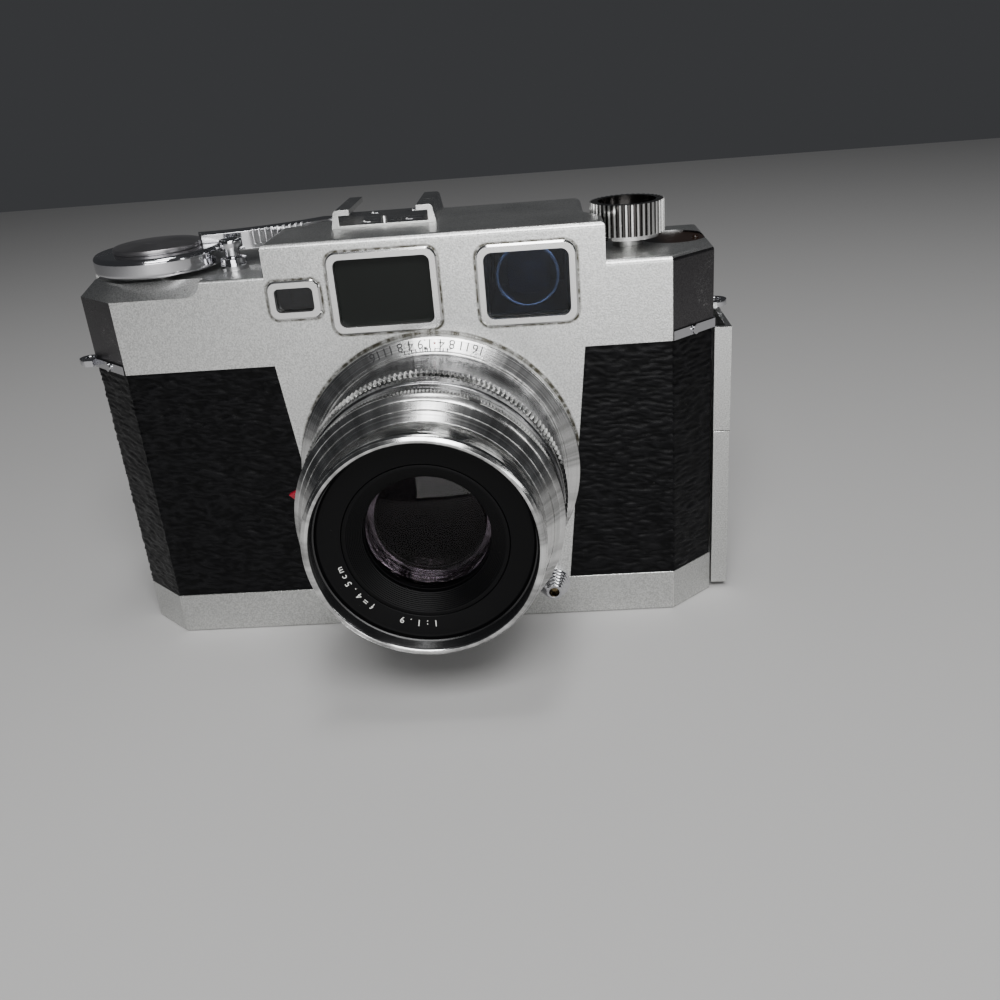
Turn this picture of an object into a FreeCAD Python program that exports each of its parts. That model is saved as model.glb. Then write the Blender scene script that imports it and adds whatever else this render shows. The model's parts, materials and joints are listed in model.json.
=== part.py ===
import FreeCAD, Part
import math
import os

# Rangefinder camera for 35 mm film. Millimetres. +Z up, +X to the right of someone facing the lens,
# the lens points along -Y. The origin is the mouth of the tripod socket, on the base plane.

# ------------------------------------------------------------------ driving dimensions: body
HALF_WIDTH = 66.5          # body and top cover, each side of the middle
FRONT = -16.0              # front face
REAR = 16.8                # rear face of the covers
BEVEL_X = 57.1             # where the front face turns into the end bevel
BEVEL_Y = -7.6             # where the end bevel meets the end face
BASE_TOP = 9.7             # top edge of the base plate
SEAM = 63.3                # lower edge of the top cover
LEFT_SHOULDER = 81.8       # shoulder that carries the wind lever
RIGHT_SHOULDER = 80.6      # shoulder that carries the rewind knob
HUMP_TOP = 88.1
SKIN = 1.0                 # thickness of the pressed covers
CASTING_INSET = 1.15       # casting inside the covers
GAP = 0.1                  # gap between fixed neighbours

# hump of the top cover
HUMP_LEFT = -24.4
HUMP_RIGHT = 44.0
HUMP_RIGHT_REAR = 40.6
HUMP_LEFT_REAR = -13.8

# lens panel that runs down between the two leathers
PANEL_TOP_LEFT = -25.4
PANEL_TOP_RIGHT = 39.4
PANEL_LOW_LEFT = -19.7
PANEL_LOW_RIGHT = 33.8

# ------------------------------------------------------------------ driving dimensions: lens
LENS_X = 7.2
LENS_Z = 38.4
SCALE_RING_R = 29.9        # fixed depth-of-field ring
BAND_R = 26.5              # plain band of the focus ring
KNURL_R = 26.9             # grip of the focus ring
CASE_R = 26.2              # rim of the shutter case
SETTING_R = 25.9           # aperture and speed rings
SLEEVE_R = 23.6            # fixed sleeve that the focus ring turns on
BARREL_R = 21.5            # tube that slides in the sleeve
CORE_R = 23.0              # case core that the setting rings turn on
FRONT_R = 22.6             # filter ring
FILTER_BORE_R = 21.0
GLASS_R = 11.9
RUNNING = 0.08             # radial clearance of a turning or sliding fit
FOCUS_TEETH = 160
CASE_FRONT = 28.1          # front of the shutter case core, ahead of the front face
NAME_RING_R = 20.5
NAME_SHELF = 36.4          # shelf in front of the data ring, ahead of the front face
LEVER_ANGLE = 172.0        # self-timer lever, in degrees from +X towards +Z
BLADES_SHUTTER = 5
BLADES_IRIS = 10

# ------------------------------------------------------------------ driving dimensions: film transport
SPOOL_X = -50.0            # wind lever and take-up spool
SPOOL_Y = -1.5
CASSETTE_X = 49.5          # rewind knob and film cassette
CASSETTE_Y = -1.4
CASSETTE_R = 12.6          # chamber for a 135 cassette, 25 mm across
SPOOL_CHAMBER_R = 12.2
FILM_Y = 12.3              # film plane
GATE_WIDTH = 36.0
GATE_HEIGHT = 24.0
SPROCKET_X = -24.5
SPROCKET_Y = 7.0
SPROCKET_R = 5.3
CHAMBER_LOW = 12.0
CHAMBER_TOP = 61.8

# ------------------------------------------------------------------ driving dimensions: back door
DOOR_LOW = 9.9
DOOR_TOP = 63.1
DOOR_INNER = 14.4
DOOR_OUTER = 16.0
DOOR_END = 70.5            # outer face of the door's end wall
DOOR_END_INNER = 66.9
DOOR_EDGE = -7.5           # forward edge of the door's end wall
DOOR_WALL = 1.2
DOOR_END_LOW = 1.5
LATCH_TOP = 39.6
HINGE_X = -64.9
HINGE_Y = 15.2
KNUCKLE_R = 1.55
PIN_R = 0.6

# ------------------------------------------------------------------ driving dimensions: controls
HUB_R = 13.5
HUB_LOW = 82.6
HUB_TOP = 86.6
CAP_R = 9.2
ARM_LOW = 84.6
ARM_TOP = 88.4
BUTTON_X = -33.2
BUTTON_Y = -5.0
KNOB_R = 7.7
KNOB_LOW = 82.4
KNOB_TOP = 89.6
KNOB_FLUTES = 40
DIAL_X = 59.4
DIAL_Y = 3.2
DIAL_R = 6.6
SHOE_X = -1.0
SHOE_FRONT = -3.0
SHOE_REAR = 15.5
SHOE_WIDTH = 22.0
SHOE_SLOT_WIDTH = 18.7
SHOE_OPENING = 14.0
SHOE_BASE_TOP = 88.6
SHOE_LIP_LOW = 90.7
SHOE_TOP = 91.8
SHOE_LEAN = 0.7            # how far the shoe's side walls lean in
SHOE_PIN_R = 0.7           # stop pin at the front of the shoe
SHOE_PIN_Y = -1.6
TRIPOD_R = 3.175           # 1/4 inch tripod thread
BASE_SCREW_R = 1.7
SHOE_SCREW_R = 1.25
PC_X = 30.0                # flash socket, in the front of the base plate
PC_Z = 8.5
PC_SEAT_R = 2.0
PC_RINGS = 6
LUG_Z = 63.9
LUG_THICK = 1.3
LUG_EYES = {-1: (-68.3, -6.6, 2.2, 1.1), 1: (69.4, 8.6, 2.6, 1.4)}  # x, y, outer and hole radius

# ------------------------------------------------------------------ driving dimensions: windows
RIM = 1.5                  # width of a window's rim
RIM_HEIGHT = 0.5
RIM_CHAMFER = 0.35
GLASS_EDGE = 0.9           # how far a glass reaches under its rim
GLASS_FRONT = FRONT + SKIN + 0.1
EYE_X = 28.3               # viewfinder axis
EYE_Z = 77.0

V = FreeCAD.Vector


# ------------------------------------------------------------------ helpers
def save(name, shape):
    """Write one node."""
    shape.exportStep("parts/" + name + ".step")


def box(x0, x1, y0, y1, z0, z1):
    """Box between two corners."""
    return Part.makeBox(x1 - x0, y1 - y0, z1 - z0, V(x0, y0, z0))


def post(x, y, r, z0, z1):
    """Upright cylinder."""
    return Part.makeCylinder(r, z1 - z0, V(x, y, z0), V(0, 0, 1))


def rod_y(x, z, r, y0, y1):
    """Cylinder along Y."""
    return Part.makeCylinder(r, y1 - y0, V(x, y0, z), V(0, 1, 0))


def prism(points, z0, z1):
    """Upright prism on a polygon of (x, y) points."""
    wire = Part.makePolygon([V(x, y, z0) for x, y in points + points[:1]])
    return Part.Face(wire).extrude(V(0, 0, z1 - z0))


def prism_y(points, y0, y1):
    """Prism along Y on a polygon of (x, z) points."""
    wire = Part.makePolygon([V(x, y0, z) for x, z in points + points[:1]])
    return Part.Face(wire).extrude(V(0, y1 - y0, 0))


def rounded_window(x0, x1, z0, z1, r, y0, y1):
    """Prism along Y on a rectangle with rounded corners."""
    body = box(x0, x1, y0, y1, z0, z1)
    upright = [e for e in body.Edges if abs(e.tangentAt(e.FirstParameter).y) > 0.9]
    return body.makeFillet(r, upright)


def turned(profile):
    """Body turned about the lens axis from a closed (radius, distance ahead of the front face) outline."""
    points = [V(LENS_X + r, FRONT - s, LENS_Z) for r, s in profile]
    face = Part.Face(Part.makePolygon(points + points[:1]))
    return face.revolve(V(LENS_X, 0, LENS_Z), V(0, 1, 0), 360)


def lens_ring(r_in, r_out, s0, s1):
    """Plain ring about the lens axis."""
    return turned([(r_in, s0), (r_out, s0), (r_out, s1), (r_in, s1)])


def toothed_disc(centre_u, centre_v, r_root, r_tip, count):
    """Outline points of a disc with straight-sided teeth."""
    points = []
    for i in range(count):
        for share, r in ((0.0, r_root), (0.2, r_tip), (0.5, r_tip), (0.7, r_root)):
            a = 2 * math.pi * (i + share) / count
            points.append((centre_u + r * math.cos(a), centre_v + r * math.sin(a)))
    return points


def plan_wire(inset, z):
    """Outline of the body in plan, moved in by inset."""
    points = [
        (-HALF_WIDTH, REAR),
        (-HALF_WIDTH, BEVEL_Y),
        (-BEVEL_X, FRONT),
        (BEVEL_X, FRONT),
        (HALF_WIDTH, BEVEL_Y),
        (HALF_WIDTH, REAR),
    ]
    wire = Part.makePolygon([V(x, y, z) for x, y in points + points[:1]])
    if inset == 0:
        return wire
    return wire.makeOffset2D(-inset, 2)


def plan_block(inset, z0, z1):
    """Body outline, moved in by inset, as a block."""
    return Part.Face(plan_wire(inset, z0)).extrude(V(0, 0, z1 - z0))


def top_edges(shape, z):
    """Edges that lie in the plane at height z."""
    return [e for e in shape.Edges if e.BoundBox.ZMin > z - 0.01 and e.BoundBox.ZMax < z + 0.01]


# ------------------------------------------------------------------ body and covers
def body_casting():
    """Die-cast frame: lens bore, film gate, rails, cassette and take-up chambers."""
    body = plan_block(CASTING_INSET, 1.3, 65.5)
    body = body.cut(box(-70, 70, 14.1, 20, DOOR_LOW - 0.3, DOOR_TOP + 0.3))
    body = body.cut(box(-62.0, 64.0, FILM_Y, 20, 11.2, 62.0))
    body = body.cut(box(-70, HINGE_X + 2.0, 12.8, 20, DOOR_LOW - 0.3, DOOR_TOP + 0.3))
    for x, y, r in (
        (SPOOL_X, SPOOL_Y, SPOOL_CHAMBER_R),
        (CASSETTE_X, CASSETTE_Y, CASSETTE_R),
        (SPROCKET_X, SPROCKET_Y, SPROCKET_R + 1.6),
    ):
        body = body.cut(post(x, y, r, CHAMBER_LOW, CHAMBER_TOP))
        body = body.cut(box(x - r, x + r, y, 20, CHAMBER_LOW, CHAMBER_TOP))
    # lens bore and the light cone down to the gate
    body = body.cut(rod_y(LENS_X, LENS_Z, SLEEVE_R + 0.7, FRONT, -3.0))
    near = gate_wire(GATE_WIDTH * 0.8, GATE_HEIGHT * 0.9, -3.2)
    far = gate_wire(GATE_WIDTH, GATE_HEIGHT, FILM_Y + 1.0)
    body = body.cut(Part.makeLoft([near, far], True, True))
    # film rails above and below the gate
    for low in (LENS_Z - 17.2, LENS_Z + 15.8):
        body = body.fuse(box(LENS_X - 24, LENS_X + 24, FILM_Y - 0.5, FILM_Y + 0.3, low, low + 1.4))
    # seats for the tripod bush, the rewind shaft, the release rod and the wind shaft
    body = body.cut(post(0, 0, 5.1, 0, 8.3))
    body = body.cut(post(CASSETTE_X, CASSETTE_Y, 3.2, 60, 66))
    body = body.cut(post(SPOOL_X, SPOOL_Y, 3.3, 60, 66))
    body = body.cut(post(SPROCKET_X, SPROCKET_Y, 2.2, 0, 13))
    body = body.cut(post(SPROCKET_X, SPROCKET_Y, 2.65, 0, 2.2))
    body = body.cut(rod_y(PC_X, PC_Z, PC_SEAT_R, FRONT, FRONT + 2.4))
    return body.removeSplitter()


def gate_wire(width, height, y):
    """Rectangle about the lens axis at one depth."""
    points = [
        V(LENS_X - width / 2, y, LENS_Z - height / 2),
        V(LENS_X + width / 2, y, LENS_Z - height / 2),
        V(LENS_X + width / 2, y, LENS_Z + height / 2),
        V(LENS_X - width / 2, y, LENS_Z + height / 2),
    ]
    return Part.makePolygon(points + points[:1])


def base_plate():
    """Pressed tray that closes the bottom."""
    tray = plan_block(0, 0, BASE_TOP)
    tray = tray.makeFillet(0.6, top_edges(tray, 0))
    tray = tray.cut(plan_block(SKIN, 1.2, BASE_TOP + 1))
    tray = tray.cut(post(0, 0, 6.1, -1, 2))
    tray = tray.cut(post(SPROCKET_X, SPROCKET_Y, 2.6, -1, 2))
    for x, y in base_screw_places():
        tray = tray.cut(post(x, y, 1.75, -1, 2))
    return tray.cut(rod_y(PC_X, PC_Z, PC_SEAT_R, FRONT - 1, FRONT + 2))


def base_screw_places():
    """Where the base plate is screwed to the casting."""
    return ((-56.0, 4.0), (56.0, 4.0), (18.0, -8.0))


def base_screws():
    """Three countersunk screws, heads flush with the base."""
    return Part.makeCompound([slotted_head(x, y, BASE_SCREW_R, 0.15, 1.05, 0.15, 0.45) for x, y in base_screw_places()])


def slotted_head(x, y, r, z0, z1, slot_z0, slot_z1):
    """Screw head from z0 to z1 with a slot cut between two heights."""
    half = 0.12 * r
    head = post(x, y, r, z0, z1)
    return head.cut(box(x - r, x + r, y - half, y + half, slot_z0, slot_z1))


def hump_outline(inset):
    """Plan of the raised middle of the top cover."""
    return [
        (HUMP_LEFT + 0.9 * inset, FRONT + inset),
        (HUMP_RIGHT - inset, FRONT + inset),
        (HUMP_RIGHT - inset, -7.0),
        (HUMP_RIGHT_REAR - inset, -2.0),
        (HUMP_RIGHT_REAR - inset, REAR - inset),
        (HUMP_LEFT_REAR + inset, REAR - inset),
        (HUMP_LEFT_REAR + inset, 10.4 - inset / 2),
        (HUMP_LEFT + inset, 3.6 - inset / 2),
    ]


def windows():
    """Outer size of each front window's rim and its corner radius: (name, x0, x1, z0, z1, r)."""
    return (
        ("rangefinder_window", -24.3, -13.4, 72.9, 80.8, 1.9),
        ("frameline_window", -11.7, 10.7, 69.0, 85.7, 2.3),
        ("viewfinder_window", 18.3, 38.3, 68.7, 85.1, 2.6),
    )


def hub_facet():
    """Waste above the sloping facet along the edge under the wind lever, with its rounded end."""
    low = 78.7
    drop = 3.7
    top = LEFT_SHOULDER + 0.3
    end_x = -41.0
    end_r = 3.2
    keep = Part.makeLoft([plan_wire(0, low), plan_wire(drop, top)], True, True)
    slab = plan_block(-0.5, low, top).cut(keep)
    reach = box(-70, end_x, -18, 2.0, low - 1, 90)
    reach = reach.fuse(rod_y(end_x, low + end_r, end_r, -18, FRONT + drop))
    return slab.common(reach)


def top_cover():
    """Top pressing with its hump and the lens panel that hangs in front of the casting."""
    right = plan_block(0, SEAM, RIGHT_SHOULDER)
    right = right.makeFillet(1.3, top_edges(right, RIGHT_SHOULDER))
    left = plan_block(0, SEAM, LEFT_SHOULDER).common(box(-80, -18, -30, 30, 0, 100))
    left = left.makeFillet(0.8, top_edges(left, LEFT_SHOULDER))
    left = left.cut(hub_facet())
    right = right.cut(hub_facet())
    hump = prism(hump_outline(0), SEAM, HUMP_TOP)
    upright = [e for e in hump.Edges if abs(e.tangentAt(e.FirstParameter).z) > 0.9]
    upright = [e for e in upright if e.BoundBox.YMin > FRONT + 0.5]
    hump = hump.makeFillet(1.6, upright)
    hump = hump.makeFillet(1.2, top_edges(hump, HUMP_TOP))
    cover = right.fuse([left, hump])
    cover = cover.cut(post(CASSETTE_X, CASSETTE_Y, KNOB_R + 1.2, RIGHT_SHOULDER, 100))
    panel = prism_y(panel_outline(), FRONT, FRONT + SKIN)
    cover = cover.fuse(panel)
    # hollow underneath
    cover = cover.cut(plan_block(SKIN, SEAM - 1, 77.6))
    cover = cover.cut(prism(hump_outline(SKIN), SEAM - 1, HUMP_TOP - SKIN))
    # window rims and openings
    for _, x0, x1, z0, z1, r in windows():
        rim = rounded_window(x0, x1, z0, z1, r, FRONT - RIM_HEIGHT, FRONT + SKIN)
        rim = rim.makeChamfer(RIM_CHAMFER, [e for e in rim.Edges if e.BoundBox.YMax < FRONT - RIM_HEIGHT + 0.01])
        cover = cover.fuse(rim)
        cover = cover.cut(window_opening(x0, x1, z0, z1, r))
    # round openings
    cover = cover.cut(rod_y(LENS_X, LENS_Z, SLEEVE_R + 0.5, FRONT - 1, FRONT + 2))
    cover = cover.cut(rod_y(PC_X, PC_Z, PC_SEAT_R, FRONT - 1, FRONT + 2))
    cover = cover.cut(rod_y(EYE_X, EYE_Z, 4.6, REAR - 3, REAR + 2))
    cover = cover.cut(post(SPOOL_X, SPOOL_Y, 3.3, 70, 90))
    cover = cover.cut(post(CASSETTE_X, CASSETTE_Y, 3.2, 70, 90))
    cover = cover.cut(post(BUTTON_X, BUTTON_Y, 2.2, 70, 90))
    cover = cover.cut(post(DIAL_X, DIAL_Y, DIAL_R + 0.5, 78.9, 90))
    return cover.removeSplitter()


def window_opening(x0, x1, z0, z1, r):
    """Clear opening inside one window's rim."""
    return rounded_window(x0 + RIM, x1 - RIM, z0 + RIM, z1 - RIM, r - 0.9, FRONT - 2, FRONT + 3)


def panel_outline():
    """Front view of the lens panel, from just above the base plate to above the seam."""
    return [
        (PANEL_TOP_LEFT, SEAM + 1.5),
        (PANEL_LOW_LEFT, BASE_TOP + GAP),
        (PANEL_LOW_RIGHT, BASE_TOP + GAP),
        (PANEL_TOP_RIGHT, SEAM + 1.5),
    ]


def leatherette(side):
    """Leather skin of one side: side is -1 for left and 1 for right."""
    skin = plan_block(0.12, BASE_TOP + GAP, SEAM - GAP).cut(plan_block(CASTING_INSET - 0.05, 0, 100))
    if side < 0:
        skin = skin.common(box(-80, 0, -20, 12.7, 0, 100))
        return skin.cut(prism_y(panel_cutter(-1), FRONT - 1, FRONT + 3))
    skin = skin.common(box(0, 80, -20, BEVEL_Y - 0.1, 0, 100))
    return skin.cut(prism_y(panel_cutter(1), FRONT - 1, FRONT + 3))


def panel_cutter(side):
    """Everything between the middle and the panel's edge on one side, with a hair of clearance."""
    gap = 0.15
    if side < 0:
        return [(20, 0), (20, 70), (panel_edge(-1, 70) - gap, 70), (panel_edge(-1, 0) - gap, 0)]
    return [(-10, 0), (-10, 70), (panel_edge(1, 70) + gap, 70), (panel_edge(1, 0) + gap, 0)]


def panel_edge(side, z):
    """X of the panel's slanted edge at height z."""
    share = (z - BASE_TOP) / (SEAM + 1.5 - BASE_TOP)
    if side < 0:
        return PANEL_LOW_LEFT + share * (PANEL_TOP_LEFT - PANEL_LOW_LEFT)
    return PANEL_LOW_RIGHT + share * (PANEL_TOP_RIGHT - PANEL_LOW_RIGHT)


# ------------------------------------------------------------------ viewfinder
def window_glass(x0, x1, z0, z1):
    """Flat glass behind one opening."""
    e = GLASS_EDGE
    return box(x0 + e, x1 - e, GLASS_FRONT, GLASS_FRONT + 1.0, z0 + e, z1 - e)


def viewfinder_tunnel():
    """Blackened box between the front window and the eyepiece."""
    tunnel = box(19.6, 37.0, GLASS_FRONT + 1.2, 14.0, 70.0, 84.0)
    tunnel = tunnel.cut(box(20.4, 36.2, GLASS_FRONT, 13.2, 70.8, 83.2))
    tunnel = tunnel.cut(rod_y(EYE_X, EYE_Z, 3.4, 12, 16))
    side_port = Part.makeCylinder(3.2, 3, V(18.5, 2.5, EYE_Z), V(1, 0, 0))
    return tunnel.cut(side_port)


def objective_lens():
    """Front lens of the viewfinder, set in the tunnel behind the window."""
    disc = rod_y(EYE_X, EYE_Z, 5.9, -8.0, -6.4)
    bulge = Part.makeSphere(14.0, V(EYE_X, -6.6 + 12.0, EYE_Z)).common(rod_y(EYE_X, EYE_Z, 5.9, -9.0, -7.9))
    return disc.fuse(bulge).removeSplitter()


def beam_splitter():
    """Cemented prism cube with the half-silvered face, turned to look at the small window."""
    cube = box(EYE_X - 4.5, EYE_X + 4.5, -2.0, 7.0, EYE_Z - 4.5, EYE_Z + 4.5)
    return cube.makeChamfer(0.4, [e for e in cube.Edges if abs(e.tangentAt(e.FirstParameter).z) > 0.9])


def rangefinder_mirror():
    """Small mirror at 45 degrees behind the small window."""
    plate = box(-4.5, 4.5, -0.6, 0.6, -3.0, 3.0)
    plate.rotate(V(0, 0, 0), V(0, 0, 1), -45)
    plate.translate(V(-18.8, -7.5, EYE_Z))
    return plate


def eyepiece_frame():
    """Ring round the eyepiece on the rear of the hump."""
    frame = rod_y(EYE_X, EYE_Z, 4.5, REAR - 1.2, REAR + 0.1).fuse(rod_y(EYE_X, EYE_Z, 5.6, REAR + 0.05, REAR + 1.4))
    frame = frame.cut(rod_y(EYE_X, EYE_Z, 3.4, REAR - 3, REAR + 3))
    return frame.cut(rod_y(EYE_X, EYE_Z, 3.9, REAR, REAR + 0.9)).removeSplitter()


# ------------------------------------------------------------------ fittings on the covers
def accessory_shoe():
    """Cold shoe bent from sheet, with lips over the slot."""
    half = SHOE_WIDTH / 2
    slot = SHOE_SLOT_WIDTH / 2
    mouth = SHOE_OPENING / 2
    outline = [
        (SHOE_X - half, HUMP_TOP + 0.02),
        (SHOE_X + half, HUMP_TOP + 0.02),
        (SHOE_X + half - SHOE_LEAN, SHOE_TOP),
        (SHOE_X + mouth, SHOE_TOP),
        (SHOE_X + mouth, SHOE_LIP_LOW),
        (SHOE_X + slot, SHOE_LIP_LOW),
        (SHOE_X + slot, SHOE_BASE_TOP),
        (SHOE_X - slot, SHOE_BASE_TOP),
        (SHOE_X - slot, SHOE_LIP_LOW),
        (SHOE_X - mouth, SHOE_LIP_LOW),
        (SHOE_X - mouth, SHOE_TOP),
        (SHOE_X - half + SHOE_LEAN, SHOE_TOP),
    ]
    shoe = prism_y(outline, SHOE_FRONT, SHOE_REAR)
    along = [e for e in shoe.Edges if abs(e.tangentAt(e.FirstParameter).y) > 0.9]
    outer = [e for e in along if e.BoundBox.ZMin > SHOE_TOP - 0.01 and abs(e.BoundBox.XMin - SHOE_X) > mouth + 1]
    shoe = shoe.makeFillet(0.8, outer)
    for x, y in shoe_screw_places():
        shoe = shoe.cut(post(x, y, SHOE_SCREW_R + 0.05, HUMP_TOP - 1, SHOE_BASE_TOP + 1))
    pin = post(SHOE_X, SHOE_PIN_Y, SHOE_PIN_R, SHOE_BASE_TOP - 0.1, SHOE_BASE_TOP + 1.4)
    return shoe.fuse(pin).removeSplitter()


def shoe_screw_places():
    """Four screws in the floor of the shoe."""
    return [(SHOE_X + sx * 4.5, y) for sx in (-1, 1) for y in (SHOE_FRONT + 3.5, SHOE_REAR - 3.5)]


def shoe_screws():
    """Screws flush with the floor of the shoe."""
    top = SHOE_BASE_TOP - 0.05
    low = HUMP_TOP + 0.02
    heads = [slotted_head(x, y, SHOE_SCREW_R, low, top, top - 0.2, top) for x, y in shoe_screw_places()]
    return Part.makeCompound(heads)


def release_collar():
    """Threaded collar round the shutter release."""
    collar = post(BUTTON_X, BUTTON_Y, 2.9, LEFT_SHOULDER, 84.2).fuse(post(BUTTON_X, BUTTON_Y, 2.15, 79.6, LEFT_SHOULDER))
    return collar.cut(post(BUTTON_X, BUTTON_Y, 1.6, 79, 85)).removeSplitter()


def release_button():
    """Shutter release with a conical seat for a cable release."""
    button = post(BUTTON_X, BUTTON_Y, 1.55, 78.6, 86.4).fuse(post(BUTTON_X, BUTTON_Y, 2.4, 86.3, 88.0))
    top = top_edges(button, 88.0)
    button = button.makeFillet(0.4, top)
    seat = Part.makeCone(0.8, 1.5, 2.2, V(BUTTON_X, BUTTON_Y, 86.0), V(0, 0, 1))
    return button.cut(seat).removeSplitter()


def strap_lug(side):
    """Chrome strip along the end bevel with a rivet and a flat eye for the strap ring."""
    eye_x, eye_y, eye_r, hole_r = LUG_EYES[side]
    high = LUG_Z + LUG_THICK
    strip = plan_block(-0.4, SEAM + 0.1, SEAM + 2.0).cut(plan_block(-0.02, 0, 100))
    if side < 0:
        strip = strip.common(box(-80, -BEVEL_X - 0.2, -20, eye_y, 0, 100))
    else:
        strip = strip.common(box(BEVEL_X + 0.2, 80, -20, eye_y, 0, 100))
    plate = post(eye_x, eye_y, eye_r, LUG_Z, high)
    edge = side * (HALF_WIDTH + 0.02)
    plate = plate.fuse(box(min(edge, eye_x), max(edge, eye_x), eye_y - eye_r - 1.0, eye_y + eye_r, LUG_Z, high))
    plate = plate.cut(post(eye_x, eye_y, hole_r, 0, 100)).cut(plan_block(-0.02, 0, 100))
    mid_x = side * (BEVEL_X + HALF_WIDTH) / 2
    mid_y = (FRONT + BEVEL_Y) / 2
    normal = V(side * (BEVEL_Y - FRONT), -(HALF_WIDTH - BEVEL_X), 0).normalize()
    rivet = Part.makeCylinder(0.95, 0.5, V(mid_x, mid_y, SEAM + 1.05) + normal * 0.35, normal)
    return strip.fuse([plate, rivet]).removeSplitter()


def tripod_bush():
    """Steel bush with the tripod thread."""
    bush = post(0, 0, 6.0, 0, 1.2).fuse(post(0, 0, 5.0, 1.1, 8.2))
    return bush.cut(post(0, 0, TRIPOD_R, -1, 6.5)).removeSplitter()


def pc_socket():
    """Stepped flash socket pointing forward."""
    socket = rod_y(PC_X, PC_Z, 1.9, FRONT, FRONT + 2.0)
    for i in range(PC_RINGS):
        r = 3.7 - i * 0.36
        socket = socket.fuse(rod_y(PC_X, PC_Z, r, FRONT - 0.8 * (i + 1), FRONT - 0.8 * i))
    return socket.cut(rod_y(PC_X, PC_Z, 1.15, FRONT - 6, FRONT + 1.0)).removeSplitter()


def pc_contact():
    """Insulated centre pin of the flash socket."""
    return rod_y(PC_X, PC_Z, 1.1, FRONT, FRONT + 0.9).fuse(rod_y(PC_X, PC_Z, 0.4, FRONT - 3.6, FRONT + 0.1))


# ------------------------------------------------------------------ lens: fixed part and focus ring
def depth_scale_ring():
    """Fixed ring with the depth-of-field scale."""
    return turned([
        (SLEEVE_R + 0.05, -1.1),
        (SLEEVE_R + 0.4, -1.1),
        (SLEEVE_R + 0.4, 0.0),
        (SCALE_RING_R, 0.0),
        (SCALE_RING_R, 3.0),
        (BAND_R + 0.3, 4.6),
        (SLEEVE_R + 0.05, 4.6),
    ])


def helicoid_sleeve():
    """Fixed sleeve: the focus ring turns on it and the barrel slides in it."""
    return lens_ring(BARREL_R + RUNNING, SLEEVE_R, -8.0, 14.2)


def focus_ring():
    """Focus ring: plain band and grip with vee teeth and a sloping front edge."""
    bore = SLEEVE_R + RUNNING
    band = lens_ring(bore, BAND_R, 4.75, 14.6)
    teeth = []
    for i in range(2 * FOCUS_TEETH):
        a = math.pi * i / FOCUS_TEETH
        r = (KNURL_R - 0.6, KNURL_R)[i % 2]
        teeth.append((LENS_X + r * math.cos(a), LENS_Z + r * math.sin(a)))
    blank = turned([(bore, 14.5), (KNURL_R, 14.5), (KNURL_R, 17.0), (KNURL_R - 0.6, 17.7), (bore, 17.7)])
    return band.fuse(blank.common(prism_y(teeth, FRONT - 18, FRONT - 14)))


# ------------------------------------------------------------------ lens: sliding barrel
def shutter_case():
    """Case of the leaf shutter with the tube that slides in the sleeve."""
    case = turned([
        (10.0, -6.0),
        (BARREL_R, -6.0),
        (BARREL_R, 17.9),
        (CASE_R, 17.9),
        (CASE_R, 20.2),
        (CASE_R - 0.4, 20.6),
        (CORE_R, 20.6),
        (CORE_R, CASE_FRONT),
        (12.2, CASE_FRONT),
        (12.2, 25.4),
        (10.6, 25.4),
        (10.6, 18.2),
        (20.0, 18.2),
        (20.0, 14.4),
        (10.0, 14.4),
    ])
    slot = lens_ring(23.9, 27.0, 18.4, 19.7)
    slot = slot.common(lever_sector(158, 226, 30))
    return case.cut(slot)


def lever_sector(a0, a1, r):
    """Wedge about the lens axis between two angles in degrees, from +X towards +Z."""
    points = [(LENS_X, LENS_Z)]
    steps = 6
    for i in range(steps + 1):
        a = math.radians(a0 + (a1 - a0) * i / steps)
        points.append((LENS_X + r * math.cos(a) * 1.3, LENS_Z + r * math.sin(a) * 1.3))
    return prism_y(points, FRONT - 40, FRONT)


def self_timer_lever():
    """Red-tipped lever that comes out of the slot in the shutter case."""
    root = lens_ring(24.2, 25.6, 18.55, 19.55).common(lever_sector(LEVER_ANGLE - 5, LEVER_ANGLE + 5, 30))
    a = math.radians(LEVER_ANGLE)
    tip = []
    for da, r in ((-0.11, 25.2), (0.0, 28.9), (0.11, 25.2)):
        tip.append((LENS_X + r * math.cos(a + da), LENS_Z + r * math.sin(a + da)))
    return root.fuse(prism_y(tip, FRONT - 19.55, FRONT - 18.55)).removeSplitter()


def aperture_ring():
    """Aperture setting ring behind the speed ring."""
    return turned([
        (CORE_R + RUNNING, 20.8),
        (SETTING_R, 20.8),
        (SETTING_R, 24.5),
        (CORE_R + RUNNING, 24.5),
    ])


def speed_ring():
    """Shutter speed ring with the fine serrated edge."""
    return turned([
        (CORE_R + RUNNING, 24.7),
        (SETTING_R, 24.7),
        (SETTING_R + 0.3, 24.9),
        (SETTING_R + 0.3, 27.0),
        (SETTING_R - 0.6, 28.0),
        (CORE_R + RUNNING, 28.0),
    ])


def front_cover_ring():
    """Bright cone in front of the setting rings."""
    return turned([(18.5, 28.2), (25.1, 28.2), (25.1, 28.4), (FRONT_R, 31.9), (18.5, 31.9)])


def filter_ring():
    """Front tube with the filter bore and the polished rim."""
    return turned([
        (18.6, 32.0),
        (FRONT_R - 0.4, 32.0),
        (FRONT_R - 0.4, 32.9),
        (FRONT_R, 33.1),
        (FRONT_R, 38.4),
        (FRONT_R - 0.9, 39.2),
        (FILTER_BORE_R + 0.3, 39.2),
        (FILTER_BORE_R, 38.9),
        (FILTER_BORE_R, NAME_SHELF),
        (NAME_RING_R + 0.05, NAME_SHELF),
        (NAME_RING_R + 0.05, 35.0),
        (18.6, 35.0),
    ])


def front_cell():
    """Cell that holds the front glass."""
    return turned([(12.0, 28.2), (18.4, 28.2), (18.4, 34.9), (15.9, 34.9), (12.9, 31.6), (12.0, 31.6)])


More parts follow.
